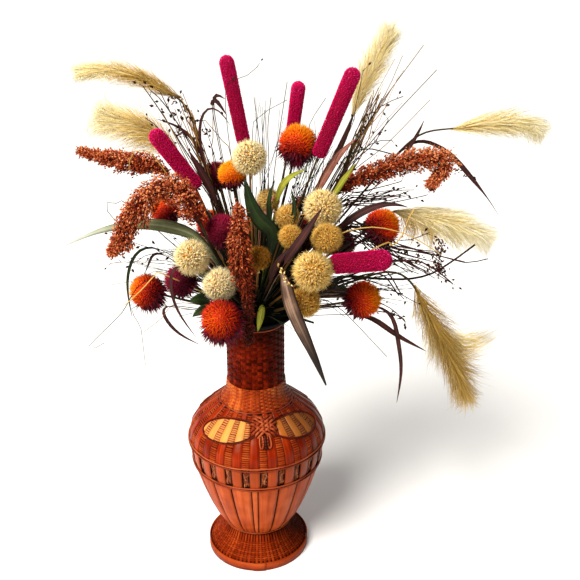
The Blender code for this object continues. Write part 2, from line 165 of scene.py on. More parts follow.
class Finish:
    # one material; fixed numbers are set on the shader's own sockets
    def __init__(self, name, **fixed):
        self.material = bpy.data.materials.new(name)
        self.material.use_nodes = True
        self.tree = self.material.node_tree
        self.shader = self.tree.nodes["Principled BSDF"]
        for socket, value in fixed.items():
            self.shader.inputs[socket.replace("_", " ")].default_value = value

    def node(self, kind, settings=None, values=None, output=0):
        # the settings come first, then the values or links of the sockets
        made = self.tree.nodes.new(kind)
        for key, value in (settings or {}).items():
            if key == "stops":
                self.fillRamp(made.color_ramp, value)
            else:
                setattr(made, key, value)
        for key, value in (values or {}).items():
            self.join(value, made.inputs[key])
        return Signal(self, made.outputs[output])

    def fillRamp(self, ramp, stops):
        while len(ramp.elements) < len(stops):
            ramp.elements.new(0.5)
        for element, (place, colour) in zip(ramp.elements, stops):
            element.position = place
            element.color = (*colour, 1.0)

    def join(self, value, socket):
        if isinstance(value, Signal):
            self.tree.links.new(value.socket, socket)
        elif isinstance(value, tuple) and len(value) == 3 and socket.type == "RGBA":
            socket.default_value = (*value, 1.0)
        else:
            socket.default_value = value

    def maths(self, operation, first, second):
        return self.node("ShaderNodeMath", {"operation": operation}, {0: first, 1: second})

    def ramp(self, share, *stops):
        return self.node("ShaderNodeValToRGB", {"stops": stops}, {0: share})

    def mix(self, share, first, second, way="MIX"):
        settings = {"data_type": "RGBA", "blend_type": way}
        return self.node("ShaderNodeMix", settings, {0: share, 6: first, 7: second}, output=2)

    def vector(self, x, y, z):
        return self.node("ShaderNodeCombineXYZ", None, {0: x, 1: y, 2: z})

    def noise(self, vector, scale, detail=2.0):
        return self.node("ShaderNodeTexNoise", None, {"Vector": vector, "Scale": scale, "Detail": detail})

    def place(self):
        return self.node("ShaderNodeTexCoord", output=3)        # Object coordinates

    def part(self, vector, number):
        return self.node("ShaderNodeSeparateXYZ", None, {0: vector}, output=number)

    def across(self, layer):
        # the two numbers of a UV map
        spot = self.node("ShaderNodeUVMap", {"uv_map": layer})
        return self.part(spot, 0), self.part(spot, 1)

    def height(self):
        return self.part(self.place(), 2)

    def angle(self):
        # degrees from the front, right is positive
        x, y = self.part(self.place(), 0), self.part(self.place(), 1)
        return self.maths("ARCTAN2", x, y * -1.0) * math.degrees(1.0)

    def tint(self):
        return self.node("ShaderNodeAttribute", {"attribute_name": "tint"}, output=2)

    def paint(self, colour, roughness=None, relief=None, depth=0.0005, strength=0.6):
        self.join(colour, self.shader.inputs["Base Color"])
        if roughness is not None:
            self.join(roughness, self.shader.inputs["Roughness"])
        if relief is not None:
            bump = self.node("ShaderNodeBump", None,
                             {"Height": relief, "Distance": depth, "Strength": strength})
            self.join(bump, self.shader.inputs["Normal"])
        return self.material


def tone(red, green, blue):
    # screen colour 0 to 255 made linear: ((c + 0.055) / 1.055) ^ 2.4
    shares = np.array([red, green, blue]) / 255.0
    return tuple(np.where(shares > 0.04045, ((shares + 0.055) / 1.055) ** 2.4, shares / 12.92))


def shade(share, colour):
    # a share of a linear colour
    return tuple(share * np.array(colour))


# split cane: label, deep, middle and pale colour, then what differs from caneFinish's usual values
canes = {
    "slat": ("lacquered slat", (66, 8, 0), (125, 24, 0), (172, 58, 6),
             {"coat": 0.3, "stain": 0.6, "gilt": ((236, 156, 74), (198, 86, 18))}),
    "rung": ("cane rung", (66, 12, 2), (134, 42, 10), (180, 86, 34),
             {"streaks": (3.0, 3.0), "gloss": 0.42, "coat": 0.1, "gilt": ((210, 128, 70), (124, 48, 24))}),
    "cap": ("shoulder cane", (84, 20, 3), (150, 52, 12), (200, 110, 44),
            {"streaks": (3.0, 3.0), "stain": 0.65}),
    "filler": ("crumpled cane", (64, 22, 8), (122, 54, 26), (178, 116, 76), {"streaks": (3.0, 3.0)}),
    # the neck cane's dark tones are partly painted shade of the bouquet over the neck, partly the cane's own
    # deep red
    "weft": ("neck cane", (36, 4, 0), (82, 11, 2), (136, 36, 10),
             {"streaks": (4.0, 3.0), "gloss": 0.5, "coat": 0.0, "stain": 0.6, "darkFrom": 0.306}),
    "skirt": ("skirt cane", (58, 12, 2), (120, 34, 6), (160, 64, 22),
              {"streaks": (4.0, 3.0), "gloss": 0.5, "coat": 0.0, "stain": 0.8}),
    "lowSlat": ("pale slat", (118, 36, 12), (172, 72, 30), (202, 104, 58),
                {"streaks": (6.0, 1.2), "gloss": 0.42, "coat": 0.05}),
    "cord": ("rattan cord", (34, 5, 4), (80, 17, 11), (138, 50, 30),
             {"streaks": (3.0, 2.0), "gloss": 0.42, "coat": 0.15}),
    "plait": ("plaited cane", (76, 19, 8), (126, 42, 18), (182, 94, 54), {"streaks": (3.0, 2.0)}),
    "strip": ("foot strip", (80, 22, 5), (138, 48, 15), (168, 74, 32),
              {"streaks": (2.0, 0.6), "gloss": 0.42, "coat": 0.05}),
}
# slats and rungs below the upper hoop take this share of this colour
bandGlow = (0.28, (200, 96, 38))


def caneFinish(name, deep, middle, pale, streaks=(7.0, 1.6), gloss=0.34, coat=0.2, gilt=None, stain=0.45,
               darkFrom=None):
    # fibre streaks along the strip, a tint per strip, dark edges: edge = (2 |across - 0.5|)^7; painted shade
    # on the right side grows with the sine of the angle to the right of 10 degrees, and painted shadow
    # darkens the top from a given height
    deep, middle, pale = tone(*deep), tone(*middle), tone(*pale)
    finish = Finish(name, Coat_Weight=coat * 0.3, Coat_Roughness=0.28, Specular_IOR_Level=0.05 + 0.4 * coat,
                    Specular_Tint=(1.0, 0.50, 0.20, 1.0), Coat_Tint=(1.0, 0.80, 0.60, 1.0))
    across, along = finish.across("strip")
    tint = finish.tint()
    fibres = finish.noise(finish.vector(across * streaks[0], along * streaks[1], tint * 37.0), 1.0, 4.0)
    blotches = finish.noise(finish.place(), 46.0, 3.0)
    share = fibres * 0.9 + blotches * 0.8 + tint * 0.6 - 0.65
    edge = ((across - 0.5).size() * 2.0) ** 7.0
    colour = finish.ramp(share, (0.05, deep), (0.5, middle), (0.95, pale))
    # painted highlight: golden upward-facing slats inside the eyes
    if gilt:
        colour = paintEyeHighlight(finish, colour, share, fibres, *[tone(*gold) for gold in gilt])
    colour = finish.mix(edge * 0.8, colour, shade(0.25, deep))
    # painted shade on the vase's right side, away from the light on the left
    side = (finish.angle() * math.radians(1.0) - math.radians(10.0)).sine() * stain
    colour = finish.mix(side, colour, shade(0.3, deep))
    # painted shadow of the bouquet over the top of the neck, from the given height up
    if darkFrom:
        colour = finish.mix((finish.height() - darkFrom) * 22.0, colour, shade(0.3, deep))
    return finish.paint(colour, fibres * 0.22 + gloss - 0.06, fibres, 0.0004, 0.5)


def paintEyeHighlight(finish, colour, share, fibres, bright, shadedGold):
    # a painted golden highlight where 1.04 - (2 place - 1)^2 - upward^2 is above nought: place runs from 0 at
    # the knot to 1 at the eye's far end, upward is the height over half the eye's; the highlight is painted
    # darker, in shade, on the right of a knot, and none is beside it
    reach = finish.maths("PINGPONG", finish.angle() - eye["first"], 180.0 / eye["knots"]) - eye["inner"]
    place = reach * (1.0 / (sum(eye["outer"].values()) / 2 - eye["inner"]))
    middle = place * (eye["far"] - eye["near"]) + eye["near"]
    upward = (finish.height() - middle) / ((place * 0.5 + 0.65) * eye["half"])
    inside = (1.04 - (place * 2.0 - 1.0) ** 2.0 - upward ** 2.0 + (fibres - 0.5) * 0.2) * 8.0
    inside = finish.maths("MINIMUM", inside, (place - eye["bare"]) * 40.0)
    turn = finish.maths("FLOORED_MODULO", finish.angle() + 90.0 - eye["first"], 360.0 / eye["knots"])
    # painted shade: the highlight is darker on the right of each knot, away from the light
    gold = finish.mix(turn.above(90.0), bright, finish.mix(place, shadedGold, shade(0.25, shadedGold)))
    colour = finish.mix(inside, colour, finish.mix(share, shade(0.5, bright), gold))
    below = (vase["upperHoop"] - finish.height()).above(0.0)
    return finish.mix(below * bandGlow[0], colour, tone(*bandGlow[1]))


# hairs, grains and stems: label, root tone and painted shade (the darker root stands partly for shade among
# the hairs and in the vase's mouth), (pick, red, green, blue) stops, roughness, lift
hairs = {
    "stem": ("dry stem", (0.14, 0.11, 0.08),
             ((0.0, 20, 14, 8), (0.35, 60, 46, 22), (0.7, 134, 94, 46), (1.0, 190, 152, 92)), 0.6, 0.7),
    "needle": ("fine needle", (0.25, 0.25, 0.18),
               ((0.0, 6, 10, 4), (0.45, 24, 36, 14), (0.7, 58, 50, 22), (1.0, 120, 100, 52)), 0.6, 1.2),
    "straw": ("straw bristle", (0.30, 0.15, 0.05),
              ((0.0, 150, 92, 26), (0.3, 212, 152, 52), (0.55, 238, 196, 98), (0.8, 252, 232, 162),
               (1.0, 255, 248, 212)), 0.85, 0.7),
    "orange": ("orange petal", (0.45, 0.12, 0.06),
               ((0.0, 255, 182, 14), (0.25, 252, 132, 6), (0.5, 232, 70, 6), (0.75, 158, 20, 12),
                (1.0, 70, 6, 22)), 0.7, 1.1),
    "burgundy": ("burgundy petal", (0.25, 0.15, 0.25),
                 ((0.0, 176, 30, 70), (0.5, 130, 12, 44), (1.0, 66, 5, 26)), 0.7, 0.8),
    "bract": ("dark bract", (0.4, 0.3, 0.4),
              ((0.0, 30, 5, 12), (0.5, 78, 8, 30), (1.0, 124, 22, 44)), 0.6, 1.2),
    "millet": ("millet grain", (0.42, 0.15, 0.25),
               ((0.0, 120, 0, 36), (0.5, 190, 0, 72), (0.8, 228, 16, 114), (1.0, 250, 96, 170)), 0.75, 0.7),
    "sorghum": ("sorghum grain", (0.4, 0.22, 0.18),
                ((0.0, 52, 12, 5), (0.35, 124, 40, 13), (0.7, 192, 80, 34),
                 (1.0, 242, 162, 108)), 0.7, 0.7),
    "pampas": ("pampas hair", (0.84, 0.74, 0.50),
               ((0.0, 132, 102, 46), (0.35, 208, 172, 92), (0.7, 246, 234, 178),
                (1.0, 254, 252, 240)), 0.6, 0.8),
    "bud": ("dark bud", (0.6, 0.5, 0.4),
            ((0.0, 18, 10, 8), (0.55, 56, 24, 20), (0.8, 116, 52, 46), (1.0, 110, 84, 36)), 0.6, 1.2),
}


def hairFinish(name, rootToneAndShade, stops, rough, lift):
    # the map's u picks a tone for each hair; v runs from its root to its tip: root + (tip - root) * v^lift
    finish = Finish(name, Roughness=rough, Specular_IOR_Level=0.12)
    pick, along = finish.across("OFBake")
    tip = finish.ramp(pick, *[(place, tone(*colour)) for place, *colour in stops])
    # the darker root: partly the plant's own tone, partly painted shade deep among the hairs and at the
    # vase's mouth
    root = finish.mix(1.0, tip, rootToneAndShade, "MULTIPLY")
    return finish.paint(finish.mix(along ** lift, root, tip))


# leaves: label, deep, middle and pale colour, roughness, then where the end fades, how fast and to what
leaves = {
    "olive": ("olive blade", (60, 62, 32), (108, 114, 74), (168, 174, 136), 0.5,
              (1.7, 0.9, (214, 218, 204))),
    "green": ("deep green leaf", (5, 14, 2), (18, 35, 5), (48, 66, 16), 0.5, None),
    "maroon": ("maroon leaf", (14, 4, 4), (44, 12, 10), (86, 36, 27), 0.6, None),
    "brown": ("brown leaf", (26, 14, 10), (84, 60, 46), (160, 130, 106), 0.5, (1.4, 1.6, (26, 14, 10))),
    "lime": ("lime leaf", (70, 80, 8), (130, 132, 24), (180, 176, 66), 0.5, None),
    "pinkBract": ("pink bract", (96, 44, 36), (156, 92, 74), (204, 148, 124), 0.5, None),
}


def leafFinish(name, deep, middle, pale, rough, fade):
    # a midrib and fine veins along the blade; its end turns to the fade colour by (along - start) * rate,
    # where along is the distance from the foot of the leaf in tenths of a metre
    finish = Finish(name, Specular_IOR_Level=0.25)
    across, along = finish.across("strip")
    veins = finish.noise(finish.vector(across * 26.0, along * 0.8, finish.tint() * 9.0), 1.0, 3.0)
    patches = finish.noise(finish.place(), 60.0, 3.0)
    rib = 1.0 - ((across - 0.5).size() * 14.0)
    colour = finish.ramp(veins * 0.6 + patches * 0.55 - 0.08,
                         (0.2, tone(*deep)), (0.5, tone(*middle)), (0.8, tone(*pale)))
    colour = finish.mix(rib.above(0.0) * 0.5, colour, tone(*pale))
    if fade:
        start, rate, endColour = fade
        colour = finish.mix((along - start) * rate, colour, tone(*endColour))
    return finish.paint(colour, veins * 0.2 + rough, veins, 0.0005, 0.7)


# plain grounds: label, deep and pale colour, grains to a metre, roughness, stretch, relief in metres,
# specular level
grounds = {
    "shell": ("vase backing", (20, 4, 2), (46, 12, 6), 120.0, 0.7, (1, 1, 0.2), 0.0006, 0.1),
    "board": ("base board", (120, 84, 50), (176, 132, 86), 60.0, 0.65, (1, 0.12, 1), 0.0006, 0.5),
    "black": ("black liner", (3, 3, 4), (9, 8, 9), 300.0, 0.7, (1, 1, 1), 0.0001, 0.08),
    "foam": ("black floral foam", (1, 1, 1), (6, 7, 5), 420.0, 0.95, (1, 1, 1), 0.0012, 0.05),
}


def groundFinish(name, deep, pale, scale, rough, stretch, depth, specular):
    # mottled grain in Object coordinates, drawn out along an axis
    finish = Finish(name, Specular_IOR_Level=specular)
    spot = finish.node("ShaderNodeMapping", None, {"Vector": finish.place(), "Scale": stretch})
    grain = finish.noise(spot, scale, 5.0)
    return finish.paint(finish.ramp(grain, (0.3, tone(*deep)), (0.7, tone(*pale))), grain * 0.2 + rough,
                        grain, depth)


finishes = {}


def makeFinishes():
    for look, (*tones, changes) in canes.items():
        finishes[look] = caneFinish(*tones, **changes)
    for table, recipe in ((hairs, hairFinish), (leaves, leafFinish), (grounds, groundFinish)):
        for look, values in table.items():
            finishes[look] = recipe(*values)
    print("finishes:", len(finishes))


def unit(vectors):
    # each vector over its own length
    return vectors / np.maximum(np.linalg.norm(vectors, axis=-1, keepdims=True), 1e-9)


def roundTurns(count, start=0.0):
    # angles evenly spaced round a circle
    return start + 2 * math.pi * np.arange(count) / count


def lengthAlong(paths):
    # distance of each point from its path's start
    steps = np.linalg.norm(np.diff(paths, axis=-2), axis=-1)
    return np.concatenate([np.zeros((*steps.shape[:-1], 1)), np.cumsum(steps, -1)], -1)


def smoothPath(points, count):
    # a Catmull-Rom curve through the points, evenly spaced by length; columns past xyz come along
    points = np.asarray(points, float)
    padded = np.vstack([2 * points[0] - points[1], points, 2 * points[-1] - points[-2]])
    share = np.linspace(0, len(points) - 1, 24 * len(points))
    span = np.minimum(share.astype(int), len(points) - 2)
    t = (share - span)[:, None]
    a, b, c, d = (padded[span + k] for k in range(4))
    curve = 0.5 * (2 * b + (c - a) * t + (2 * a - 5 * b + 4 * c - d) * t**2 + (3 * b - a - 3 * c + d) * t**3)
    length = lengthAlong(curve[:, :3])
    even = np.linspace(0.0, length[-1], count)
    return np.stack([np.interp(even, length, column) for column in curve.T], 1)


def eased(path, passes):
    # each inner point moves to the mean of itself and its neighbours, some passes over
    for _ in range(passes):
        path[1:-1] = (path[:-2] + path[1:-1] + path[2:]) / 3
    return path


def arcs(starts, bends, ends, t):
    # start (1 - t)^2 + 2 t (1 - t) bend + end t^2
    t = np.reshape(t, (-1, 1))
    return starts[:, None] * (1 - t) ** 2 + 2 * t * (1 - t) * bends[:, None] + t**2 * ends[:, None]


def turnTo(axis):
    # columns of a turn that carries +Z to the axis
    axis = unit(np.asarray(axis, float))
    other = np.array([0.0, 1.0, 0.0]) if abs(axis[1]) < 0.9 else np.array([1.0, 0.0, 0.0])
    side = unit(np.cross(other, axis))
    return np.stack([side, np.cross(axis, side), axis], 1)


def sphereWays(turn, fall):
    # directions by the turn round +Z and the angle that they fall away from it
    return np.stack([np.sin(fall) * np.cos(turn), np.sin(fall) * np.sin(turn), np.cos(fall) + 0 * turn], -1)


def spiralSites(count, lowest=-1.0):
    # directions spread by the golden angle, height falling evenly from +1 to the lowest
    height = 1.0 - (1.0 - lowest) * (np.arange(count) + 0.5) / count
    turn = np.arange(count) * math.pi * (3.0 - math.sqrt(5.0))
    reach = np.sqrt(1.0 - height**2)
    return np.stack([reach * np.cos(turn), reach * np.sin(turn), height], 1)


def mixedTints(chance, base, spread, count):
    # a tint from 0 to 1 for each of some pieces, scattered round the base
    return np.clip(base + chance.normal(0, spread, count), 0, 1)


faceTotals = []


class Pile:
    # patches gathered into one mesh, with a map place and a tint at every point
    def __init__(self, mapName="OFBake"):
        self.mapName = mapName
        self.points, self.places, self.tints, self.blocks = [], [], [], []
        self.count = 0

    def add(self, points, places, tints, blocks, kind):
        points = np.reshape(points, (-1, 3))
        self.points.append(points)
        self.places.append(np.reshape(places, (-1, 2)))
        self.tints.append(np.reshape(tints, -1))
        self.blocks += [(block + self.count, kind) for block in blocks]
        self.count += len(points)

    def make(self, name, looks, replaced=()):
        mesh = bpy.data.meshes.new(name)
        corners = np.concatenate([block.ravel() for block, _ in self.blocks])
        sizes = np.concatenate([np.full(len(block), block.shape[1]) for block, _ in self.blocks])
        kinds = np.concatenate([np.full(len(block), kind) for block, kind in self.blocks])
        mesh.vertices.add(self.count)
        mesh.vertices.foreach_set("co", np.concatenate(self.points).astype(np.float32).ravel())
        mesh.loops.add(len(corners))
        mesh.loops.foreach_set("vertex_index", corners.astype(np.int32))
        mesh.polygons.add(len(sizes))
        mesh.polygons.foreach_set("loop_start", (np.cumsum(sizes) - sizes).astype(np.int32))
        mesh.polygons.foreach_set("material_index", kinds.astype(np.int32))
        mesh.polygons.foreach_set("use_smooth", np.ones(len(sizes), bool))
        places = np.concatenate(self.places)[corners]
        mesh.uv_layers.new(name=self.mapName).data.foreach_set("uv", places.astype(np.float32).ravel())
        tint = mesh.attributes.new("tint", "FLOAT", "POINT")
        tint.data.foreach_set("value", np.concatenate(self.tints).astype(np.float32))
        mesh.update(calc_edges=True)
        for look in looks:
            mesh.materials.append(finishes[look])
        piece = link(bpy.data.objects.new(name, mesh))
        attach(piece, "root")
        if replaced:
            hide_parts(*replaced)
        faceTotals.append(int((sizes - 2).sum()))


def ringBlocks(count, rows, sides, loop, tip):
    # faces of tubes of rows x sides points that follow one another; ends are capped, or meet in a loop
    side = np.arange(sides)
    nextSide = (side + 1) % sides
    row = np.arange(rows if loop else rows - 1)[:, None]
    nextRow = (row + 1) % rows
    quads = np.stack([row * sides + side, row * sides + nextSide,
                      nextRow * sides + nextSide, nextRow * sides + side], -1).reshape(-1, 4)
    last = (rows - 1) * sides
    blocks = [quads] if len(quads) else []
    if not loop:
        blocks.append(side[::-1][None])
    if tip:
        blocks.append(np.stack([last + side, last + nextSide, np.full(sides, last + sides)], -1))
    elif not loop:
        blocks.append(last + side[None])
    start = np.arange(count)[:, None, None] * (rows * sides + tip)
    return [(block[None] + start).reshape(-1, block.shape[-1]) for block in blocks]


def addRings(pile, rings, places, tint=0.5, kind=0, loop=False, tips=None):
    # rings is (count, rows, sides, 3), anticlockwise about the way the rows run; each tip closes a tube in
    # a point
    count, rows, sides = rings.shape[:3]
    places = np.broadcast_to(places, (count, rows, sides, 2)).reshape(count, -1, 2)
    points = rings.reshape(count, -1, 3)
    if tips is not None:
        ends = places[:, -sides:].mean(1)
        ends[:, 1] = 0.99 if pile.mapName == "OFBake" else ends[:, 1]
        points = np.concatenate([points, tips[:, None]], 1)
        places = np.concatenate([places, ends[:, None]], 1)
    tints = np.broadcast_to(np.reshape(tint, (-1, 1)), (count, points.shape[1]))
    pile.add(points, places, tints, ringBlocks(count, rows, sides, loop, tips is not None), kind)


def hairPlaces(tint, sides):
    # the map's u for hairs and grains: a column for each tint, as wide as its sides need
    return 0.02 + 0.94 * np.clip(tint, 0, 1) + 0.02 * np.arange(sides) / sides


def addRods(pile, paths, radii, sides=6, tint=0.5, kind=0, up=None, flat=1.0, loop=False, tip=False,
            start=0.0):
    # path point + radius * (flat * cos * up + sin * side), where side = direction x up
    paths = np.asarray(paths, float)
    count, rows = paths.shape[:2]
    if loop:
        direction = unit(np.roll(paths, -1, 1) - np.roll(paths, 1, 1))
    else:
        direction = unit(np.gradient(paths, axis=1))
    if up is None:
        steep = np.abs(direction[:, :, 2]).max(1) > 0.85
        up = np.where(steep[:, None], (1.0, 0.3, 0.0), (0.0, 0.0, 1.0))[:, None]
    up = unit(up - direction * (up * direction).sum(-1, keepdims=True))
    side = np.cross(direction, up)
    turn = roundTurns(sides, start)
    reach = np.broadcast_to(radii, (count, rows))[:, :, None, None]
    section = flat * np.cos(turn)[:, None] * up[:, :, None] + np.sin(turn)[:, None] * side[:, :, None]
    rings = paths[:, :, None] + reach * section
    tint = np.broadcast_to(tint, (count,))
    if pile.mapName == "OFBake":
        across = hairPlaces(tint[:, None, None], sides)
        along = np.linspace(0.01, 0.99, rows)[:, None]
    else:
        across = (0.5 + 0.5 * np.sin(turn))[None, None]
        along = 10.0 * lengthAlong(paths)[:, :, None]
    shape = (count, rows, sides)
    places = np.stack([np.broadcast_to(across, shape), np.broadcast_to(along, shape)], -1)
    if tip:
        addRings(pile, rings[:, :-1], places[:, :-1], tint, kind, False, paths[:, -1])
    else:
        addRings(pile, rings, places, tint, kind, loop)


def addSpikes(pile, roots, tips, thickness, tint, kind, bend=None, sides=3):
    # tapered hairs: straight, or bowed by the bend at their middle
    if bend is None:
        paths, taper = np.stack([roots, tips], 1), np.array([1.0, 0.0])
    else:
        paths, taper = np.stack([roots, (roots + tips) / 2 + bend, tips], 1), np.array([1.0, 0.8, 0.0])
    radii = np.reshape(thickness, (-1, 1)) * taper
    addRods(pile, paths, np.broadcast_to(radii, paths.shape[:2]), sides, tint, kind, tip=True)


def addSeeds(pile, middles, directions, lengths, widths, tint, kind=0):
    # six-sided grains: a point at each end and three corners round the waist
    turns = unit(directions)
    half = turns * np.reshape(lengths, (-1, 1)) / 2
    steep = np.abs(turns[:, 2:]) > 0.85
    side = unit(np.cross(turns, np.where(steep, (1.0, 0.0, 0.0), (0.0, 0.0, 1.0))))
    other = np.cross(turns, side)
    corner = roundTurns(3)[:, None, None]
    waist = middles + (side * np.cos(corner) + other * np.sin(corner)) * np.reshape(widths, (-1, 1)) * 0.55
    points = np.stack([middles - half, *waist, middles + half], 1)
    count = len(points)
    tint = np.broadcast_to(tint, (count,))
    across = 0.02 + 0.94 * np.clip(tint, 0, 1)[:, None] + np.array([0.01, 0.0, 0.01, 0.02, 0.01])
    along = np.broadcast_to([0.02, 0.55, 0.6, 0.55, 0.98], (count, 5))
    ring, after = np.array([1, 2, 3]), np.array([2, 3, 1])
    faces = np.concatenate([np.stack([ring, after, np.full(3, 4)], 1),
                            np.stack([after, ring, np.zeros(3, int)], 1)])
    blocks = [(faces[None] + 5 * np.arange(count)[:, None, None]).reshape(-1, 3)]
    pile.add(points, np.stack([across, along], -1), np.repeat(tint, 5), blocks, kind)


def addBall(pile, middle, radius, turn, rows=9, sides=14, tint=0.5, kind=0):
    # middle + turn (radius * (sin a cos b, sin a sin b, -cos a)), a from pole to pole
    a = np.radians(np.linspace(7, 173, rows))[:, None]
    globe = sphereWays(roundTurns(sides), a) * (radius, radius, -radius)
    across = hairPlaces(np.broadcast_to(tint, (rows,))[:, None], sides)
    along = np.linspace(0.01, 0.5, rows)[:, None]
    places = np.stack(np.broadcast_arrays(across, along), -1)
    addRings(pile, (middle + globe @ turn.T)[None], places[None], 0.5, kind)


def turned(outline, sides, waver=None):
    # points and map places of an outline of (radius, height) turned about +Z, up its outside first
    outline = np.asarray(outline, float)
    turn = roundTurns(sides)
    radius, height = outline[:, :1], outline[:, 1:]
    if waver is not None:
        radius = radius * (1 + waver(turn[None], height))
    points = np.stack([radius * np.sin(turn), -radius * np.cos(turn), height + 0 * turn], -1)
    return points, np.stack(np.broadcast_arrays(turn / 6.3, height * 10), -1)


def addLathe(pile, outline, sides=96, waver=None):
    # a turned outline with its ends capped
    points, places = turned(outline, sides, waver)
    addRings(pile, points[None], places[None])


def meshOf(node):
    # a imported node's points, and the three corners of each of its faces
    mesh = nodes[node].data
    points, corners = np.empty(3 * len(mesh.vertices)), np.empty(3 * len(mesh.polygons), int)
    mesh.vertices.foreach_get("co", points)
    mesh.polygons.foreach_get("vertices", corners)
    return points.reshape(-1, 3), corners.reshape(-1, 3)


class Wall:
    # the outside of a turned node, by height; angles are in degrees from the front, right is positive
    def __init__(self, node, rounding=0.005):
        points, corners = meshOf(node)
        a, b, c = (points[corners[:, k]] for k in range(3))
        faceWay, middle = unit(np.cross(b - a, c - a)), unit((a + b + c) * (1.0, 1.0, 0.0))
        outer = points[np.unique(corners[(faceWay * middle).sum(1) > 0.05])]
        height, first = np.unique(np.round(outer[:, 2], 4), return_inverse=True)
        radius = np.zeros(len(height))
        np.maximum.at(radius, first.ravel(), np.hypot(outer[:, 0], outer[:, 1]))
        # the facets' corners are rounded by a moving mean over twice the rounding
        self.height = np.linspace(height[0], height[-1], 801)
        window = max(1, int(rounding / (self.height[1] - self.height[0])))
        padded = np.pad(np.interp(self.height, height, radius), window, mode="reflect", reflect_type="odd")
        kernel = np.hanning(2 * window + 1)
        self.radius = np.convolve(padded, kernel / kernel.sum(), mode="valid")
        self.slope = np.gradient(self.radius, self.height)
        self.length = lengthAlong(np.stack([self.radius, self.height], 1))

    def at(self, angle, height, lift=0.0):
        # radius and height moved out along the wall's normal by the lift, then turned to the angle
        slope = np.interp(height, self.height, self.slope)
        out = 1.0 / np.sqrt(1.0 + slope**2)
        reach = np.interp(height, self.height, self.radius) + lift * out
        turn = np.radians(angle)
        level = height - lift * slope * out
        return np.stack(np.broadcast_arrays(reach * np.sin(turn), -reach * np.cos(turn), level), -1)

    def facing(self, angle, height):
        return unit(self.at(angle, height, 0.001) - self.at(angle, height))

    def rows(self, low, high, count):
        # heights evenly spaced by length along the wall
        lengths = np.interp(np.linspace(0, 1, count), (0, 1),
                            np.interp((low, high), self.height, self.length))
        return np.interp(lengths, self.length, self.height)

    def outline(self, heights, inset):
        return np.stack([np.interp(heights, self.height, self.radius) - inset, heights], 1)


def addStrip(pile, wall, angle, heights, halfAngle, thickness, lift=0.0, tint=0.5):
    # a flat strip up the wall: lift + thickness * profile across it, closed behind
    across = np.array([-1.0, -0.93, -0.5, 0.0, 0.5, 0.93, 1.0, 0.0])
    profile = np.array([-0.3, 0.75, 1.0, 1.1, 1.0, 0.75, -0.3, -0.3])
    halfAngle = np.broadcast_to(halfAngle, heights.shape)
    rings = wall.at(angle + halfAngle[:, None] * across, heights[:, None], lift + thickness * profile)
    along = 10 * np.interp(heights, wall.height, wall.length)[:, None]
    places = np.stack(np.broadcast_arrays(0.5 + 0.5 * across, along), -1)
    addRings(pile, rings[None], places[None], tint)


def addOnWall(pile, wall, angle, height, lift, radius, sides, tint, kind=0, flat=1.0, loop=True, start=0.0):
    # rods laid on the wall with their flat side to it; angle, height and lift are (count, rows), or one row
    path, up = wall.at(angle, height, lift), wall.facing(angle, height)
    if path.ndim == 2:
        path, up = path[None], up[None]
    addRods(pile, path, radius, sides, tint, kind, up, flat, loop=loop, start=start)


def addWeave(pile, wall, low, high, weave, chance):
    # plain weave: stakes ride at lift + swing * cos(pi (row + stake)), wefts at lift - swing * the same
    stakes, rows = weave["stakes"], weave["rows"]
    pitch = 360.0 / stakes
    level = np.linspace(-0.5, rows - 0.5, 2 * rows + 1)
    heights = wall.rows(low, high, 2 * rows + 1)
    stake = np.arange(stakes)[:, None]
    pale = (chance.random((stakes, 1)) < weave["pale"]) & (stake % 2 == 0)
    rise = weave["lift"] + weave["swing"] * (np.cos(math.pi * (level + stake)) + 1.1 * pale)
    halfWidth = weave["stakeWidth"] / 2 * np.interp(heights, wall.height, wall.radius) / weave["radius"]
    tints = np.where(pale[:, 0], 0.85, chance.uniform(0.2, 0.7, stakes))
    addOnWall(pile, wall, pitch * stake, heights, rise, halfWidth, 4, tints, 0, weave["flat"], False,
              math.pi / 4)
    angle = np.arange(4 * stakes) * pitch / 4
    row = np.arange(rows)[:, None]
    height = heights[1::2][:, None] + 0 * angle
    dip = weave["lift"] - weave["swing"] * np.cos(math.pi * (angle / pitch + row))
    tints = chance.uniform(0.0, 0.8, rows)
    addOnWall(pile, wall, angle, height, dip, weave["weftWidth"] / 2, 4, tints, 0, weave["flat"],
              start=math.pi / 4)


# the vase's rings and openings, by height over the floor, and its slats, by angle
vase = {"slats": 24, "ringHeight": 0.2265, "upperHoop": 0.1715, "lowerHoop": 0.141, "waist": 0.0435,
        "neckFoot": 0.2545, "backing": 0.0014, "wall": 0.0016, "floor": (0.0402, 0.0425)}


def makeBacking(wall):
    # dark backing a little inside the weave, with the inside and the floor of the vase
    heights = np.linspace(wall.height[0], wall.height[-1] - 0.0006, 32)
    outside = wall.outline(heights, vase["backing"])
    inside = outside[::-1] - (vase["wall"], 0.0)
    low, high = vase["floor"]
    pile = Pile("strip")
    outline = [(0.003, low), (0.036, low), outside, inside[:-2], (0.034, high), (0.003, high)]
    addLathe(pile, np.vstack(outline), 48)
    pile.make("vase_backing", ["shell"], ["vase_body"])


# angles in degrees; a narrow slat fills the seam at the front
slat = {"half": 4.5, "thickness": 0.0011, "tints": (0.3, 0.75), "lowCount": 19, "lowTints": (0.3, 0.8),
        "seam": (-2.9, 2.3), "gap": (0.42, 0.22)}


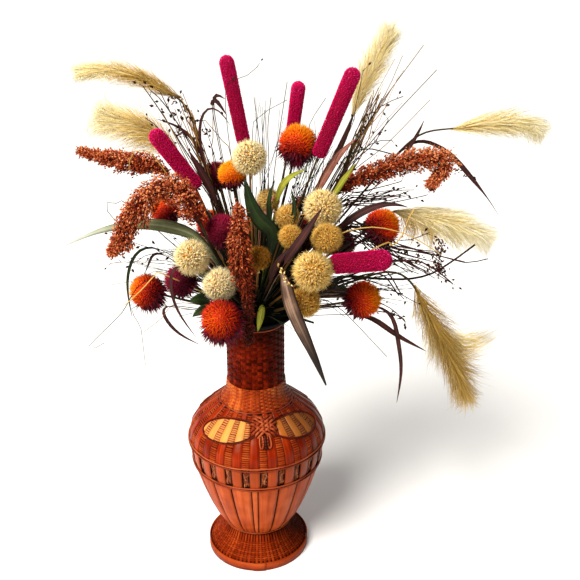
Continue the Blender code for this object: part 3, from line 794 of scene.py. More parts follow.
def makeSlats(wall):
    # upright strips round the belly, and strips below it that touch but for a gap, closing as a square root
    chance = np.random.default_rng(11)
    pile = Pile("strip")
    pitch = 360.0 / vase["slats"]
    heights = wall.rows(vase["lowerHoop"] - 0.003, vase["ringHeight"] + 0.003, 30)
    for number in range(vase["slats"]):
        tint = chance.uniform(*slat["tints"])
        addStrip(pile, wall, number * pitch, heights, slat["half"], slat["thickness"], tint=tint)
    pile.make("belly_slats", ["slat"], ["vase_body"])

    pile = Pile("strip")
    left, right = slat["seam"]
    wide = (360.0 - (right - left)) / slat["lowCount"]
    heights = wall.rows(wall.height[0] + 0.0015, vase["lowerHoop"] - 0.001, 22)
    gap = slat["gap"][0] + (slat["gap"][1] - slat["gap"][0]) * np.linspace(0, 1, len(heights)) ** 0.5
    for number in range(slat["lowCount"]):
        middle = right + (number + 0.5) * wide
        tint = chance.uniform(*slat["lowTints"])
        addStrip(pile, wall, middle, heights, wide / 2 - gap, slat["thickness"], tint=tint)
    addStrip(pile, wall, (left + right) / 2, heights, (right - left) / 2 - gap / 2, slat["thickness"],
             tint=0.7)
    pile.make("lower_slats", ["lowSlat"], ["vase_body"])
    print("slats made")


rung = {"half": 3.0, "pitch": 0.0028, "radius": 0.00138, "flat": 0.55, "bulge": 0.0016, "sunk": -0.0006,
        "stake": (0.0006, -0.0012)}      # the stake behind the rungs: thickness, lift


def makeRungs(wall):
    # each rung: lift = sunk + bulge * cos(across)^0.5, its ends tucked under the slats
    chance = np.random.default_rng(12)
    pile = Pile("strip")
    pitch = 360.0 / vase["slats"]
    span = np.diff(np.interp((vase["upperHoop"], vase["ringHeight"]), wall.height, wall.length))[0]
    heights = wall.rows(vase["upperHoop"] + 0.002, vase["ringHeight"] - 0.0025, int(span / rung["pitch"]))
    centres = (np.arange(vase["slats"]) + 0.5) * pitch
    height, centre = (grid.reshape(-1, 1) for grid in np.meshgrid(heights, centres))
    height = height + chance.normal(0, 0.00012, height.shape)
    across = np.linspace(-1, 1, 6)
    lift = rung["sunk"] + rung["bulge"] * np.sqrt(np.cos(across * math.pi / 2.15))
    tints = chance.uniform(0.4, 0.75, len(height))
    addOnWall(pile, wall, centre + across * rung["half"] * 1.15, height + 0 * across, lift,
              rung["radius"], 4, tints, flat=rung["flat"], loop=False)
    for middle in centres:
        stakeHeights = wall.rows(vase["upperHoop"], vase["ringHeight"], 12)
        addStrip(pile, wall, middle, stakeHeights, rung["half"] * 0.8, *rung["stake"], 0.1)
    pile.make("ladder_rungs", ["rung"], ["vase_body"])


filler = {"strands": 4, "radius": 0.0011, "flat": 0.5, "lean": 1.6, "sway": 1.1, "lift": (-0.0008, 0.0007),
          "ground": (0.0006, -0.0013)}      # the strip behind the strands: thickness, lift


def makeFiller(wall):
    # crumpled cane from the lower hoop to the upper: angle = middle + lean + sway * sin(9 t), and the height
    # goes by t + 0.08 sin(13 t)
    chance = np.random.default_rng(13)
    pile = Pile("strip")
    low, high = vase["lowerHoop"] + 0.003, vase["upperHoop"] - 0.003
    t = np.linspace(0, 1, 12)
    for number in range(vase["slats"]):
        middle = (number + 0.5) * 360.0 / vase["slats"]
        for _ in range(filler["strands"]):
            lean = chance.uniform(-filler["lean"], filler["lean"], 2)
            wave = chance.uniform(0, 6.3)
            angle = middle + lean[0] + (lean[1] - lean[0]) * t + filler["sway"] * np.sin(9 * t + wave)
            height = low + (high - low) * (t + 0.08 * np.sin(13 * t + wave))
            lift = filler["lift"][0] + filler["lift"][1] * np.sin(11 * t + 2 * wave)
            addOnWall(pile, wall, angle, height, lift, filler["radius"], 5, chance.uniform(0.3, 1.0),
                      flat=filler["flat"], loop=False)
        addStrip(pile, wall, middle, np.linspace(low, high, 5), rung["half"] * 0.75, *filler["ground"], 0.2)
    pile.make("band_filler", ["filler"], ["vase_body"])
    print("ladders and filler made")


neckWeave = {"stakes": 32, "rows": 19, "stakeWidth": 0.0108, "weftWidth": 0.0066, "swing": 0.00045,
             "lift": -0.0006, "flat": 0.14, "pale": 0.0, "radius": 0.038}
shoulderWeave = {"stakes": 48, "rows": 13, "stakeWidth": 0.0100, "weftWidth": 0.0030, "swing": 0.0005,
                 "lift": 0.0, "flat": 0.30, "pale": 0.08, "radius": 0.038}
mouthRim = {"radius": 0.0011, "lift": -0.0004, "tint": 0.9}


def makeWeaves(wall):
    chance = np.random.default_rng(14)
    top = wall.height[-1] - 0.001
    for name, look, low, high, weave in (
            ("neck_weave", "weft", vase["neckFoot"], top, neckWeave),
            ("shoulder_weave", "cap", vase["ringHeight"] + 0.001, vase["neckFoot"], shoulderWeave)):
        pile = Pile("strip")
        addWeave(pile, wall, low, high, weave, chance)
        pile.make(name, [look], ["vase_body"])
    pile = Pile("strip")
    rim = wall.at(np.arange(120) * 3.0, top, mouthRim["lift"])
    addRods(pile, rim[None], mouthRim["radius"], 6, mouthRim["tint"], loop=True)
    pile.make("mouth_rim", ["plait"], ["vase_body"])
    print("neck and shoulder woven")


hoops = {       # node: (height, (offset, lift, radius, tint) of each strand)
    "shoulder_ring": (vase["ringHeight"], ((-0.0020, 0.0008, 0.0008, 0.3), (0.0, 0.0012, 0.0009, 0.6),
                                           (0.0019, 0.0008, 0.0008, 0.4))),
    # the upper strand's pale tint, 0.95, is a painted highlight along the hoop's top
    "belly_hoop_upper": (vase["upperHoop"],
                         ((-0.0015, 0.0019, 0.0010, 0.3), (0.0014, 0.0019, 0.0009, 0.95))),
    "belly_hoop_lower": (vase["lowerHoop"],
                         ((-0.0018, 0.0017, 0.0012, 0.35), (0.0014, 0.0019, 0.0010, 0.7))),
    "waist_ring": (vase["waist"], ((-0.0016, 0.0016, 0.0012, 0.4), (0.0010, 0.0016, 0.0012, 0.7))),
}


def makeHoops(wall):
    # each hoop is strands side by side round the wall, level + 0.0003 * sin(angle * waves)
    angle = np.arange(144) * 2.5
    for waves, (node, (height, strands)) in enumerate(hoops.items(), start=5):
        pile = Pile("strip")
        for offset, lift, radius, tint in strands:
            waver = 0.0003 * np.sin(np.radians(angle * waves) + 900 * offset)
            level = np.maximum(height + offset, wall.height[0]) + waver
            drop = min(0.0, height + offset - wall.height[0])
            path = wall.at(angle, level, lift) + (0, 0, drop)
            addRods(pile, path[None], radius, 6, tint, 0, wall.facing(angle, level)[None], loop=True)
        pile.make(node + "_cane", ["plait"], [node])


eye = {"inner": 4.0, "outer": {-1: 70.0, 1: 67.0}, "near": 0.2140, "far": 0.2045, "half": 0.0122,
       "bare": 0.17, "lift": (0.0015, 0.0026), "strand": 0.00048, "tints": (0.2, 0.45, 0.75), "first": 10.0,
       "knots": 2}
knot = {"height": 0.2155, "rise": (0.0052, 0.0036), "lean": 0.66, "strands": (-1.5, -0.5, 0.5, 1.5),
        "gap": 0.0040, "half": 0.0178, "shorter": 0.0014, "over": 0.0012, "sunk": 0.0045, "radius": 0.00165,
        "flat": 0.7}
tail = {"lift": 0.0036, "heights": (0.208, 0.196), "radius": 0.0022, "windings": (0.2065, 0.1975, 5),
        "wire": 0.00075, "loop": (0.2025, 0.0058, 0.0030), "loopAngle": (3.6, 1.7), "loopRadius": 0.0011}


def eyePath(wall, middle, side, count=72):
    # an egg on the shoulder, fuller at its far end, that starts and ends under the knot and lifts over it:
    # height = near + (far - near) * share + half * (0.65 + 0.5 share) * sin(turn), where
    # share = (1 - cos(turn)) / 2
    turn = roundTurns(count)
    share = (1 - np.cos(turn)) / 2
    angle = middle + side * (eye["inner"] + (eye["outer"][side] - eye["inner"]) * share)
    height = (eye["near"] + (eye["far"] - eye["near"]) * share
              + eye["half"] * (0.65 + 0.5 * share) * np.sin(turn))
    lift = eye["lift"][0] + eye["lift"][1] * ((1 + np.cos(turn)) / 2) ** 3
    return wall.at(angle, height, lift), wall.facing(angle, height)


def addEyes(pile, wall, middle):
    # three strands side by side round each eye
    for side in (-1, 1):
        path, up = eyePath(wall, middle, side)
        beside = np.cross(unit(np.roll(path, -1, 0) - np.roll(path, 1, 0)), up)
        for offset, tint in enumerate(eye["tints"], start=-1):
            strand = path + beside * (2.0 * eye["strand"] * offset)
            addRods(pile, strand[None], eye["strand"], 6, tint, 0, up[None], loop=True)


def addDiamond(pile, wall, middle, rise, chance):
    # two sets of strands that pass over and under each other: lift = over * cos(pi (run / gap + strand)),
    # and sink at their ends
    centre, out = wall.at(middle, knot["height"], rise), wall.facing(middle, knot["height"])
    right = unit(np.cross((0.0, 0.0, 1.0), out))
    upward = np.cross(out, right)
    t = np.linspace(-1, 1, 29)
    for lean in (1, -1):
        run = unit(right * math.cos(knot["lean"]) + lean * upward * math.sin(knot["lean"]))
        beside = np.cross(out, run)
        for k in knot["strands"]:
            half = knot["half"] - knot["shorter"] * abs(k)
            over = knot["over"] * np.cos(math.pi * (t * half / knot["gap"] + k + 0.5 + (lean > 0)))
            sink = -knot["sunk"] * np.maximum(0, np.abs(t) - 0.8) / 0.2
            path = (centre + np.outer(t * half, run) + beside * (knot["gap"] * k)
                    + np.outer(over + sink, out))
            tint = chance.uniform(0.4, 0.9)
            addRods(pile, path[None], knot["radius"], 6, tint, 1, out[None, None], knot["flat"])


def addTail(pile, wall, middle):
    # a wound stub between two little loops: loop = middle height + half height * sin(turn)
    drop = np.linspace(*tail["heights"], 9)
    addOnWall(pile, wall, middle + 0 * drop, drop, tail["lift"], tail["radius"], 8, 0.1, loop=False)
    turn = roundTurns(14)
    for level in np.linspace(*tail["windings"]):
        ring = wall.at(middle + 1.9 * np.cos(turn), level, tail["lift"] + 0.0027 * np.sin(turn))
        addRods(pile, ring[None], tail["wire"], 5, 0.15, loop=True)
    level, half, lift = tail["loop"]
    for side in (-1, 1):
        angle = middle + side * (tail["loopAngle"][0] + tail["loopAngle"][1] * np.cos(turn))
        path = wall.at(angle, level + half * np.sin(turn), lift)
        addRods(pile, path[None], tail["loopRadius"], 6, 0.8, 1, wall.facing(angle, level)[None], loop=True)


def makeKnots(wall):
    chance = np.random.default_rng(15)
    for number, rise in enumerate(knot["rise"]):
        middle = eye["first"] + 360.0 * number / eye["knots"]
        pile = Pile("strip")
        addEyes(pile, wall, middle)
        addDiamond(pile, wall, middle, rise, chance)
        addTail(pile, wall, middle)
        node = f"knot_cord_{number + 1}"
        pile.make(node + "_plait", ["cord", "plait"], [node])
    print("hoops and knots made")


foot = {"ribs": 72, "ribHalf": 0.36, "rows": 10, "weft": 0.0010, "swing": (-0.0003, 0.0010),
        "backing": (0.0012, 0.0013)}
band = {"height": 0.012, "joint": -2.0, "turn": 372.0, "lap": 0.0009, "inset": 0.0006, "flat": 0.085}


def makeFoot():
    # a cone of backing, upright ribs, and wefts at lift = swing * cos(pi (rib + row)) over every other rib
    chance = np.random.default_rng(16)
    wall = Wall("foot_skirt", 0.003)
    low, high = wall.height[0], wall.height[-1]
    outside = wall.outline(wall.rows(low, high, 14), foot["backing"][0])
    points, places = turned(np.vstack([outside, outside[::-1] - (foot["backing"][1], 0.0)]), 96)
    pile = Pile("strip")
    pile.add(points, places, np.full(points.shape[:2], 0.1), ringBlocks(1, len(points), 96, True, False), 0)
    ribHeights = wall.rows(low + 0.002, high - 0.001, 11)
    pitch = 360.0 / foot["ribs"]
    for number in range(foot["ribs"]):
        tint = chance.uniform(0.2, 0.8)
        addStrip(pile, wall, number * pitch, ribHeights, foot["ribHalf"] * pitch, 0.0011, -0.0008, tint)
    angle = (np.arange(foot["ribs"] * 2) + 0.5) * pitch / 2
    row = np.arange(foot["rows"])[:, None]
    level = wall.rows(band["height"] + 0.001, high - 0.011, foot["rows"])[:, None] + 0 * angle
    dip = foot["swing"][0] - foot["swing"][1] * np.cos(math.pi * (angle / pitch + row))
    addOnWall(pile, wall, angle, level, dip, foot["weft"], 5, chance.uniform(0.3, 0.9, foot["rows"]),
              flat=0.6)
    pile.make("foot_skirt_weave", ["skirt"], ["foot_skirt"])


def makeBand():
    # the flat strip round the foot, past a whole turn, with its end lifted over its start
    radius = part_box("foot_band")[1].x - band["inset"]
    angle = np.linspace(0, band["turn"], 150)
    turn = np.radians(band["joint"] + angle)
    reach = radius + band["lap"] * np.clip((angle - 356) / 5, 0, 1)
    path = np.stack([reach * np.sin(turn), -reach * np.cos(turn), 0 * turn + band["height"] / 2], 1)
    pile = Pile("strip")
    addRods(pile, path[None], band["height"] * 0.7, 4, 0.6, 0, (path * (1, 1, 0))[None], band["flat"],
            start=math.pi / 4)
    pile.make("foot_band_strip", ["strip"], ["foot_band"])
    nodes["base_board"].data.materials.clear()
    nodes["base_board"].data.materials.append(finishes["board"])
    print("foot made")


liner = {"bore": 0.0322, "wall": (0.0012, 0.0007), "flare": ((0.0375, 0.3368), (0.0475, 0.3432)),
         "neck": 0.3345}
foam = {"sleeve": 0.0292, "mouth": 0.3395, "dome": 0.0445, "foot": 0.3470, "lumps": 0.035}


def foamWaver(turn, height):
    return foam["lumps"] * np.sin(7 * turn + 300 * height) * np.sin(420 * height)


def makeLiner():
    # the flared black dish, a thin wall turned about the vase's line, and the foam dome in it: radius =
    # dome * cos(1.5 t), height = foot + rise * sin(1.5 t), with lumps by sin(7 turn) sin(420 height)
    dishBox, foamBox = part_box("liner_dish"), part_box("floral_foam")
    rim, top, bottom = dishBox[1].x, dishBox[1].z, dishBox[0].z
    line = [(liner["bore"], bottom + 0.003), (liner["bore"], liner["neck"]), *liner["flare"], (rim, top)]
    outer = smoothPath([(*corner, 0.0) for corner in line], 24)[:, :2]
    inner = outer[::-1] + (-liner["wall"][0], liner["wall"][1])
    pile = Pile("strip")
    addLathe(pile, np.vstack([(0.004, bottom), outer, inner, (0.004, bottom + 0.0016)]))
    pile.make("liner_dish_lip", ["black"], ["liner_dish"])
    t = 1.5 * np.linspace(0, 1, 14)
    dome = np.stack([foam["dome"] * np.cos(t), foam["foot"] + (foamBox[1].z - foam["foot"]) * np.sin(t)], 1)
    outline = np.vstack([(foam["sleeve"], foamBox[0].z), (foam["sleeve"], foam["mouth"]), dome])
    pile = Pile("strip")
    addLathe(pile, outline, 64, foamWaver)
    pile.make("floral_foam_block", ["foam"], ["floral_foam"])


# reading the flowers' stems and heads from the frame
def routeOf(node, corners=8):
    # rings of a bent tube, walked face by face from the hub: middle, reach, the way to the widest corner
    points, triangles = meshOf(node)
    grid = np.round(points / 2e-5).astype(int)
    _, first, same = np.unique(grid, axis=0, return_index=True, return_inverse=True)
    points, triangles = points[first], same.ravel()[triangles]
    joined = np.zeros((len(points), len(points)), bool)
    for a, b in ((0, 1), (1, 2), (2, 0)):
        joined[triangles[:, a], triangles[:, b]] = joined[triangles[:, b], triangles[:, a]] = True
    layer = np.argsort(np.linalg.norm(points - hub, axis=1))[:corners]
    seen, rings, ways = np.zeros(len(points), bool), [], []
    while len(layer):
        seen[layer] = True
        middle = points[layer].mean(0)
        reach = np.linalg.norm(points[layer] - middle, axis=1)
        way = unit(points[layer][reach.argmax()] - middle)
        ways.append(way if not ways or way @ ways[-1] > 0 else -way)
        rings.append((*middle, reach.max()))
        layer = np.flatnonzero(joined[layer].any(0) & ~seen)
    return np.array(rings), np.array(ways)


def ballOf(route):
    # middle, radius and forward direction of a round head
    widest = route[:, 3].argmax()
    return route[widest, :3], route[widest, 3], unit(route[-1, :3] - route[widest, :3])


def headOf(route, thinnest=0.0019):
    # the first ring thicker than a stem
    return int(np.argmax(route[:, 3] > thinnest))


def stemPath(route, start, core):
    # from inside the foam along the stem, then along the head's line
    whole = np.vstack([hub[None] + 0.8 * (route[:1, :3] - hub), route[1:start, :3], core[::5, :3]])
    return eased(smoothPath(whole, 40), 6)


def along(core, share):
    # columns of the path at shares of its length, and the way it runs there
    steps = np.linspace(0, 1, len(core))
    spot = np.stack([np.interp(share, steps, column) for column in core.T], 1)
    ahead = np.stack([np.interp(share, steps, column) for column in np.gradient(core[:, :3], axis=0).T], 1)
    return spot, unit(ahead)


def addStem(pile, start, end, radius, tint):
    # a straight stem from inside the foam, its thickness falling from 1.15 to 0.85 of the middle one
    start = hub + (start - hub) * 0.8
    path = start + (end - start) * np.linspace(0, 1, 9)[:, None]
    addRods(pile, path[None], np.linspace(1.15, 0.85, 9) * radius, 6, tint)


# straw-coloured bristle balls, one tint for each; the lowest tints, of balls lying in shadow, are partly
# painted shade, partly their own amber colour
straw = {
    "florets": 250, "floretSteps": (0.66, 0.82, 0.96), "floret": 0.045, "spikes": 1900, "spike": 0.019,
    "core": 0.74, "reach": (0.98, 1.16), "spread": 0.24, "bracts": 30, "stem": 0.0015,
    "tints": (0.90, 0.88, 0.96, 0.78, 0.48, 0.62, 0.50, 0.42, 0.42, 0.14, 0.62, 0.78, 0.70),
}


def makeStrawBall(number, base):
    # short florets and fine spikes stand on a ball: spot = middle + way * radius * step, ways by the golden
    # angle
    chance = np.random.default_rng(100 + number)
    node = f"straw_ball_{number}"
    route, _ = routeOf(node)
    middle, radius, axis = ballOf(route)
    turn = turnTo(axis)
    pile = Pile()
    addStem(pile, route[0, :3], middle - axis * radius * 0.7, straw["stem"], chance.uniform(0.1, 0.7))
    addBall(pile, middle, radius * straw["core"], turn, tint=base * 0.3, kind=1)
    count = straw["florets"]
    ways = unit(spiralSites(count, -0.93) @ turn.T + chance.normal(0, 0.06, (count, 3)))
    swell = 1 + chance.normal(0, 0.03, (count, 1))
    steps = np.array(straw["floretSteps"])[:, None]
    paths = middle + ways[:, None] * radius * steps * swell[:, None]
    tint = mixedTints(chance, base, 0.10, count)
    addRods(pile, paths, radius * straw["floret"] * np.array([0.9, 1.1, 0.2]), 4, tint * 0.9, 1, tip=True)
    count = straw["spikes"]
    ways = unit(spiralSites(count, -0.97) @ turn.T + chance.normal(0, 0.03, (count, 3)))
    lean = unit(ways + chance.normal(0, straw["spread"], ways.shape))
    roots = middle + ways * radius * 0.70
    tips = middle + lean * radius * chance.uniform(*straw["reach"], (count, 1))
    addSpikes(pile, roots, tips, radius * straw["spike"], mixedTints(chance, base + 0.02, 0.13, count), 1)
    # dry bracts that hang below the ball
    count = straw["bracts"]
    below = unit(chance.normal(0, 0.45, (count, 3)) - turn[:, 2] + (0, 0, -0.3))
    roots = middle + below * radius * 0.55
    tips = middle + below * radius * chance.uniform(0.95, 1.3, (count, 1))
    tint = chance.uniform(0, base * 0.5, count)
    addSpikes(pile, roots, tips, radius * 0.06, tint, 1, chance.normal(0, 0.0012, (count, 3)))
    pile.make(node + "_bristles", ["stem", "straw"], [node])


# velvet globes: petal finish, slot, fibre length, bracts, and the tone shift of each head
globes = {
    "orange_globe": ("orange", "orange_petals", 1.06, 60,
                     (-0.04, -0.42, 0.15, 0.28, 0.12, 0.02, 0.06, 0.1, 0.15)),
    "burgundy_globe": ("burgundy", "burgundy_petals", 1.25, 70, (0.0, 0.3, 0.1, 0.2)),
}
globe = {
    "fibres": 1500, "fibre": 0.030, "reach": (0.22, 0.36), "core": 0.80, "stem": 0.0016, "bract": 0.085,
    # hanging burgundy petals
    "skirts": {"orange_globe_4": 900, "orange_globe_5": 160, "orange_globe_1": 160},
    "skirtWay": (-0.1, 0.25, -1.0), "skirtReach": (1.1, 1.42), "skirtPetal": 0.032,
}


def addBracts(pile, middle, radius, axis, count, long, weight, chance):
    # pointed bracts behind the head, drawn down by their weight; they open to 12 + 62 sqrt(share) degrees
    under = unit(-axis + np.array([0, 0, -weight]))
    spin = np.arange(count) * goldenAngle
    wide = np.radians(12 + 62 * np.sqrt(np.arange(count) / count))
    way = sphereWays(spin, wide) @ turnTo(under).T
    length = radius * chance.uniform(0.34, 0.56, (count, 1)) * long
    roots = middle + way * radius * 0.72
    tips = roots + unit(way + under * 0.6 + chance.normal(0, 0.15, way.shape)) * length
    addSpikes(pile, roots, tips, radius * globe["bract"], chance.uniform(0, 0.9, count), 2,
              way * radius * 0.05, 4)


def addSkirt(pile, middle, radius, axis, count, chance):
    # burgundy petals hang round the low side of the head
    low = unit(np.array(globe["skirtWay"]) - 0.4 * axis)
    way = unit(chance.normal(0, 0.55, (count, 3)) + low)
    roots = middle + way * radius * 0.74
    tips = middle + (way + low * 0.15) * radius * chance.uniform(*globe["skirtReach"], (count, 1))
    tint = chance.uniform(0.45, 1.0, count)
    addSpikes(pile, roots, tips, radius * globe["skirtPetal"], tint, 3, way * radius * 0.04)


def makeGlobe(family, number):
    # fibres stand on a ball; a fibre's tone is shift + (angle from the crown over 150 degrees) ^ 1.2
    petal, slot, long, bracts, shifts = globes[family]
    chance = np.random.default_rng(200 + number + 40 * len(petal))
    node = f"{family}_{number}"
    route, _ = routeOf(node)
    middle, radius, axis = ballOf(route)
    turn = turnTo(axis)
    shift = shifts[number - 1]
    count = globe["fibres"]
    pile = Pile()
    addStem(pile, route[0, :3], middle - axis * radius * 0.7, globe["stem"], chance.uniform(0.0, 0.5))
    crown = np.clip(shift + 0.25 + np.linspace(1, 0, 11), 0, 1)
    addBall(pile, middle, radius * globe["core"], turn, 11, 20, crown, 1)
    local = unit(spiralSites(count, -0.80) + chance.normal(0, 0.03, (count, 3)))
    fall = np.arccos(np.clip(local[:, 2], -1, 1)) / math.radians(150)
    lean = unit(local + (0, 0, 0.35) + chance.normal(0, 0.12, local.shape))
    roots = middle + local @ turn.T * radius * 0.74
    tips = roots + (lean @ turn.T) * radius * chance.uniform(*globe["reach"], (count, 1)) * long
    addSpikes(pile, roots, tips, radius * globe["fibre"],
              mixedTints(chance, shift + fall**1.2, 0.08, count), 1)
    hanging = node in globe["skirts"]
    addBracts(pile, middle, radius, axis, bracts, long, 0.9 if hanging else 0.45, chance)
    if hanging:
        addSkirt(pile, middle, radius, axis, globe["skirts"][node], chance)
    pile.make(node + "_petals", ["stem", petal, "bract", "burgundy"], [node])


millet = {"grains": 1900, "grain": 0.0022, "width": 0.00155, "longer": {5: 0.012}, "cap": 1.05,
          "stem": 0.0015}


def milletGirth(s, length, radius):
    # radius * sqrt(1 - rest^2) near the tip, rest being the share of the cap passed; a little thinner at
    # the foot
    cap = radius * millet["cap"]
    rest = np.maximum(0, s - (length - cap)) / cap
    start = np.maximum(0, 0.006 - s) / 0.006
    return radius * np.sqrt(np.clip(1 - rest**2, 0, 1)) * (1 - 0.35 * start**2) * (0.90 + 0.10 * s / length)


def makeMillet(number):
    # grains in a spiral by the golden angle on a rod with a round end
    chance = np.random.default_rng(300 + number)
    node = f"millet_spike_{number}"
    route, _ = routeOf(node)
    low, tip, radius = route[1, :3], route[-1, :3], route[:, 3].max()
    low = low - unit(tip - low) * millet["longer"].get(number, 0.0)
    length = np.linalg.norm(tip - low)
    axis = (tip - low) / length
    turn = turnTo(axis)
    cap = radius * millet["cap"]
    pile = Pile()
    addStem(pile, route[0, :3], low + axis * 0.01, millet["stem"], 0.3)
    s, spin = np.linspace(0, length * 0.996, 30), roundTurns(16)
    body = milletGirth(s, length, radius)[:, None] * 0.86
    rings = np.stack([body * np.cos(spin), body * np.sin(spin), s[:, None] + 0 * spin], -1)
    places = np.stack(np.broadcast_arrays(0.1 + 0.02 * spin, np.linspace(0.01, 0.4, 30)[:, None]), -1)
    addRings(pile, (low + rings @ turn.T)[None], places[None], 0.1, 1)
    count = millet["grains"]
    place = np.clip((np.arange(count) + 0.5) / count * length + chance.normal(0, 0.0003, count), 0, length)
    around = np.arange(count) * goldenAngle + chance.normal(0, 0.05, count)
    reach = milletGirth(place, length, radius)
    spot = np.stack([reach * np.cos(around), reach * np.sin(around), place], 1) * (0.97, 0.97, 1)
    end = np.clip((place - (length - cap)) / cap, 0, 1)[:, None]
    way = (np.stack([np.cos(around), np.sin(around), 0.45 + 0 * around], 1) * (1 - 0.8 * end)
           + (0, 0, 1) * end)
    size = chance.uniform(0.85, 1.2, count)
    tint = mixedTints(chance, 0.46 + 0.45 * np.maximum(0, place / length - 0.55), 0.13, count)
    addSeeds(pile, low + spot @ turn.T, unit(way) @ turn.T, millet["grain"] * size, millet["width"] * size,
             tint, 1)
    pile.make(node + "_grains", ["stem", "millet"], [node])


sorghum = {
    "grains": 16, "grain": 0.0036, "width": 0.0021, "stem": (0.0016, 0.0008), "branch": 0.0003,
    "awn": 0.00022,
    # a head's tone along its length is partly painted shade, lower where the head hangs in shadow
    "heads": (      # branches, fullness and tone from its foot to its tip, fall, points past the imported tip
        (200, (1.20, 1.10, 0.82, 0.50, 0.15), (0.10, 0.22, 0.26), 0.10, ()),
        (300, (2.20, 1.60, 1.35, 1.15, 1.10, 1.00, 0.70),
         (0.12, 0.36, 0.48, 0.36, 0.24, 0.26, 0.30), 0.50, ()),
        (280, (1.20, 1.15, 1.00, 0.95), (-0.06, 0.26, 0.46, 0.30), 0.12,
         ((0.217, 0.016, 0.513), (0.208, 0.013, 0.500))),
        (280, (0.60, 0.95, 1.00, 0.66, 0.30, 0.38, 0.45), (0.26, 0.20, -0.12, -0.38, -0.48), 0.40, ()),
        (80, (0.9, 0.9), (0.10, 0.10), 0.35, ()),
    ),
}


def sorghumBranches(core, count, fall, chance):
    # branches leave the core at the golden angle: ahead * t + out * (2t - t^2) - fall * t^2
    places = np.linspace(0.0, 0.99, count)
    spot, ahead = along(core, places)
    around = np.arange(count)[:, None] * goldenAngle + chance.normal(0, 0.3, (count, 1))
    side = unit(np.cross(ahead, (0.12, 0.05, 1.0)))
    out = np.cos(around) * side + np.sin(around) * np.cross(ahead, side)
    reach = np.maximum(spot[:, 3:], 0.002) * chance.uniform(0.55, 1.08, (count, 1))
    length = (reach * 0.9 + 0.006) * np.clip(0.2 + 4 * (1 - places[:, None]), 0, 1)
    t = np.linspace(0, 1, 4)[None, :, None]
    forward = ahead[:, None] * length[:, None] * chance.uniform(0.6, 1.1, (count, 1, 1))
    paths = spot[:, None, :3] + forward * t + out[:, None] * reach[:, None] * (2 * t - t**2)
    return paths - np.array([0, 0, fall]) * length[:, None] * t**2, out


def addSorghumGrains(pile, paths, out, tones, chance):
    # grains strewn along the branches; a tint is the head's tone + 0.2 * upward, a painted top light,
    # + 0.5 * depth^1.5; awns stand out
    count, grains = len(paths), sorghum["grains"]
    share = np.sort(chance.uniform(0.15, 1.08, (count, grains)) ** 0.8, 1)
    step = np.clip(share * 3, 0, 2.999).astype(int)
    left, rest = np.take_along_axis(paths, step[..., None], 1), (share * 3 - step)[..., None]
    right = np.take_along_axis(paths, step[..., None] + 1, 1)
    seeds = left + (right - left) * rest + chance.normal(0, 0.0021, (count, grains, 3))
    ways = unit(right - left) + 0.35 * out[:, None] + chance.normal(0, 0.5, seeds.shape)
    seeds, ways = seeds.reshape(-1, 3), ways.reshape(-1, 3)
    size = chance.uniform(0.6, 1.25, count * grains)
    depth = np.clip(share.ravel(), 0, 1)
    # painted light: grains on branches that point up are lighter, those that point down darker
    lit = np.interp(np.linspace(0, 1, count), np.linspace(0, 1, len(tones)), tones) + 0.20 * out[:, 2]
    tint = mixedTints(chance, np.repeat(lit, grains) + 0.5 * depth**1.5, 0.20, count * grains)
    addSeeds(pile, seeds, ways, sorghum["grain"] * size, sorghum["width"] * size, tint, 1)
    some = (chance.random(count * grains) > 0.45) & (depth > 0.45)
    lean = unit(unit(ways[some]) + 0.8 * np.repeat(out, grains, 0)[some])
    tips = seeds[some] + lean * chance.uniform(0.003, 0.007, (some.sum(), 1))
    addSpikes(pile, seeds[some], tips, sorghum["awn"], np.clip(tint[some] + 0.3, 0, 1), 1)


def makeSorghum(number):
    # a rough core along the head, girth = reach * (1 + 0.25 sin(2.1 step)) * sqrt(share left), then the
    # branches
    chance = np.random.default_rng(400 + number)
    node = f"sorghum_head_{number}"
    count, full, tones, fall, more = sorghum["heads"][number - 1]
    route, _ = routeOf(node)
    start = headOf(route, 0.0021)
    if more:
        route = np.vstack([route, [(*point, 0.007) for point in more]])
        route[-len(more) - 1, 3] = 0.010
    pile = Pile()
    core = smoothPath(route[start:], 40)
    addRods(pile, stemPath(route, start, core)[None], np.linspace(*sorghum["stem"], 40), 6, 0.25)
    core[:, 3] *= np.interp(np.linspace(0, 1, 40), np.linspace(0, 1, len(full)), full)
    girth = core[:, 3] * 0.48 * (1 + 0.25 * np.sin(np.arange(40) * 2.1)) * np.sqrt(np.linspace(1, 0.1, 40))
    # the core's dark tint is painted shade of the head's dense inside
    addRods(pile, core[None, :, :3], girth, 7, 0.12, 1)
    paths, out = sorghumBranches(core, count, fall, chance)
    addRods(pile, paths, sorghum["branch"], 3, chance.uniform(0.1, 0.4, count), 1)
    addSorghumGrains(pile, paths, out, tones, chance)
    pile.make(node + "_grains", ["stem", "sorghum"], [node])


# pampas plumes: hairs, reach ahead, droop, fullness, brush (the least share of the full thickness), end of
# the head, tint at the root and at the tip
plumes = {
    1: (1620, 0.045, 0.00, 1.35, 0.80, 0.97, 0.16, 0.98),
    2: (1900, 0.055, 0.12, 1.30, 0.95, 0.92, 0.22, 1.05),
    3: (1650, 0.045, 0.00, 1.30, 0.80, 0.82, 0.56, 0.84),
    4: (1700, 0.050, 0.00, 1.15, 0.85, 0.90, 0.58, 1.00),
    5: (1750, 0.055, 0.12, 1.20, 0.80, 0.96, 0.64, 1.10),
    # plume 6's low tints are partly painted shade, partly its own golden-brown colour
    6: (1750, 0.060, 0.00, 1.20, 0.75, 0.98, 0.06, 0.38),
    7: (800, 0.055, 0.10, 1.00, 0.60, 1.00, 0.45, 0.60),
}
